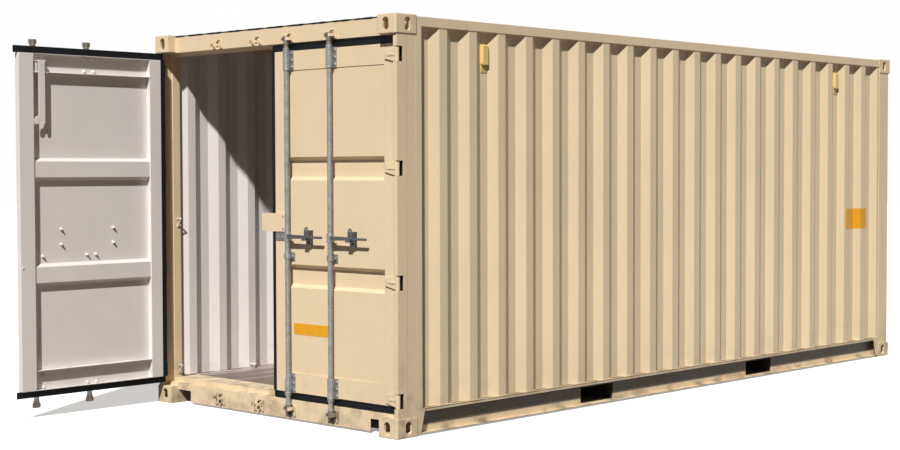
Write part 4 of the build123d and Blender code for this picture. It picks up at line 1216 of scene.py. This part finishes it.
class CONTAINER_OT_set_stage(bpy.types.Operator):
    """Sets the floor, the lamps, the world and the camera"""

    bl_idname = "container.set_stage"
    bl_label = "Stage"

    def execute(self, context):
        scene = context.scene
        self.lay_floor(scene)
        self.light_world(scene)
        self.hang_lamps(scene)
        self.place_camera(scene)
        scene.view_settings.view_transform = "Standard"
        return {"FINISHED"}

    def lay_floor(self, scene):
        """A floor that is pale where it is seen, and throws little light on the container."""
        half, glow_strength = 60.0, 0.35
        corners = [(-half, -half, 0), (half, -half, 0), (half, half, 0), (-half, half, 0)]
        data = bpy.data.meshes.new("studio_floor")
        data.from_pydata(corners, [], [(0, 1, 2, 3)])
        floor = bpy.data.objects.new("studio_floor", data)
        scene.collection.objects.link(floor)
        material, tree, shader = new_material("studio_floor_pale")
        tree.nodes.remove(shader)
        pale = put(tree, "BsdfDiffuse", {"Color": (0.80, 0.80, 0.80, 1)}).outputs[0]
        glow = put(tree, "Emission", {"Color": (1, 1, 1, 1), "Strength": glow_strength}).outputs[0]
        shown = put(tree, "AddShader", {0: pale, 1: glow}).outputs[0]
        hidden = put(tree, "BsdfDiffuse", {"Color": (0.09, 0.088, 0.085, 1)}).outputs[0]
        surface = put(tree, "MixShader", {0: directly_seen(tree), 1: hidden, 2: shown}).outputs[0]
        tree.links.new(surface, tree.nodes["Material Output"].inputs["Surface"])
        data.materials.append(material)

    def light_world(self, scene):
        """A white world that gives only a weak, even light."""
        world = bpy.data.worlds.new("studio")
        scene.world = world
        world.use_nodes = True
        sky = world.node_tree
        background = sky.nodes["Background"].inputs
        background["Color"].default_value = (1, 1, 1, 1)
        strength = spread(sky, directly_seen(sky), 0.0, 1.0, scene.container_stage.fill, 1.0)
        sky.links.new(strength, background["Strength"])

    def hang_lamps(self, scene):
        """The sun, and a weaker lamp from behind that shows in no reflection."""
        stage = scene.container_stage
        for name, strength, toward, glossy in (
            ("main_lamp", stage.lamp, (1.0, 0.61, -1.2), True),
            ("back_lamp", stage.back, (-1.0, -0.6, -0.5), False),
        ):
            lamp = bpy.data.lights.new(name, "SUN")
            lamp.energy = strength
            lamp.angle = stage.softness
            lamp.color = (1.0, 0.985, 0.96)
            sun = bpy.data.objects.new(name, lamp)
            sun.visible_glossy = glossy
            scene.collection.objects.link(sun)
            sun.rotation_euler = Vector(toward).to_track_quat("-Z", "Y").to_euler()

    def place_camera(self, scene):
        """The camera that the photograph was taken with, as fitted."""
        stage = scene.container_stage
        view = bpy.data.cameras.new("view")
        view.lens = stage.lens
        view.sensor_width = 36.0
        view.sensor_fit = "HORIZONTAL"
        view.clip_end = 300.0
        eye = bpy.data.objects.new("view", view)
        scene.collection.objects.link(eye)
        eye.location = stage.camera_place
        level = math.cos(stage.tip)
        ahead = Vector((math.sin(stage.turn) * level, math.cos(stage.turn) * level, math.sin(stage.tip)))
        facing = ahead.to_track_quat("-Z", "Y").to_matrix().to_4x4()
        spun = facing @ Matrix.Rotation(stage.roll, 4, "Z")
        eye.rotation_euler = spun.to_euler()
        scene.camera = eye


class CONTAINER_PT_panel(bpy.types.Panel):
    """The sidebar panel with every step"""

    bl_label = "Container"
    bl_idname = "CONTAINER_PT_panel"
    bl_space_type = "VIEW_3D"
    bl_region_type = "UI"
    bl_category = "Container"

    def draw(self, context):
        for settings in ("container_paint", "container_trim", "container_stage"):
            group = getattr(context.scene, settings)
            part = self.layout.box()
            for name in group.__annotations__:
                part.prop(group, name)
        for step in STEPS:
            self.layout.operator(step.bl_idname)


STEPS = (
    CONTAINER_OT_paint_frame,
    CONTAINER_OT_paint_skin,
    CONTAINER_OT_paint_doors,
    CONTAINER_OT_coat_hardware,
    CONTAINER_OT_add_welds,
    CONTAINER_OT_add_edge_strips,
    CONTAINER_OT_add_seal_lips,
    CONTAINER_OT_add_floor_sealant,
    CONTAINER_OT_add_vent_screws,
    CONTAINER_OT_add_floor_screws,
    CONTAINER_OT_add_labels,
    CONTAINER_OT_add_guide_bolts,
    CONTAINER_OT_add_leaf_seams,
    CONTAINER_OT_add_holding_strap,
    CONTAINER_OT_add_lock_plate_trim,
    CONTAINER_OT_set_stage,
)
GROUPS = {
    "container_paint": PaintSettings,
    "container_trim": TrimSettings,
    "container_stage": StageSettings,
}


def register():
    """Registers the settings, the steps and the panel."""
    for name, group in GROUPS.items():
        bpy.utils.register_class(group)
        setattr(bpy.types.Scene, name, bpy.props.PointerProperty(type=group))
    for step in (*STEPS, CONTAINER_PT_panel):
        bpy.utils.register_class(step)


def unregister():
    """Takes them out again."""
    for step in reversed((*STEPS, CONTAINER_PT_panel)):
        bpy.utils.unregister_class(step)
    for name, group in GROUPS.items():
        delattr(bpy.types.Scene, name)
        bpy.utils.unregister_class(group)


def main():
    """Runs every step."""
    register()
    for step in STEPS:
        family, action = step.bl_idname.split(".")
        getattr(getattr(bpy.ops, family), action)()


if __name__ == "__main__":
    main()
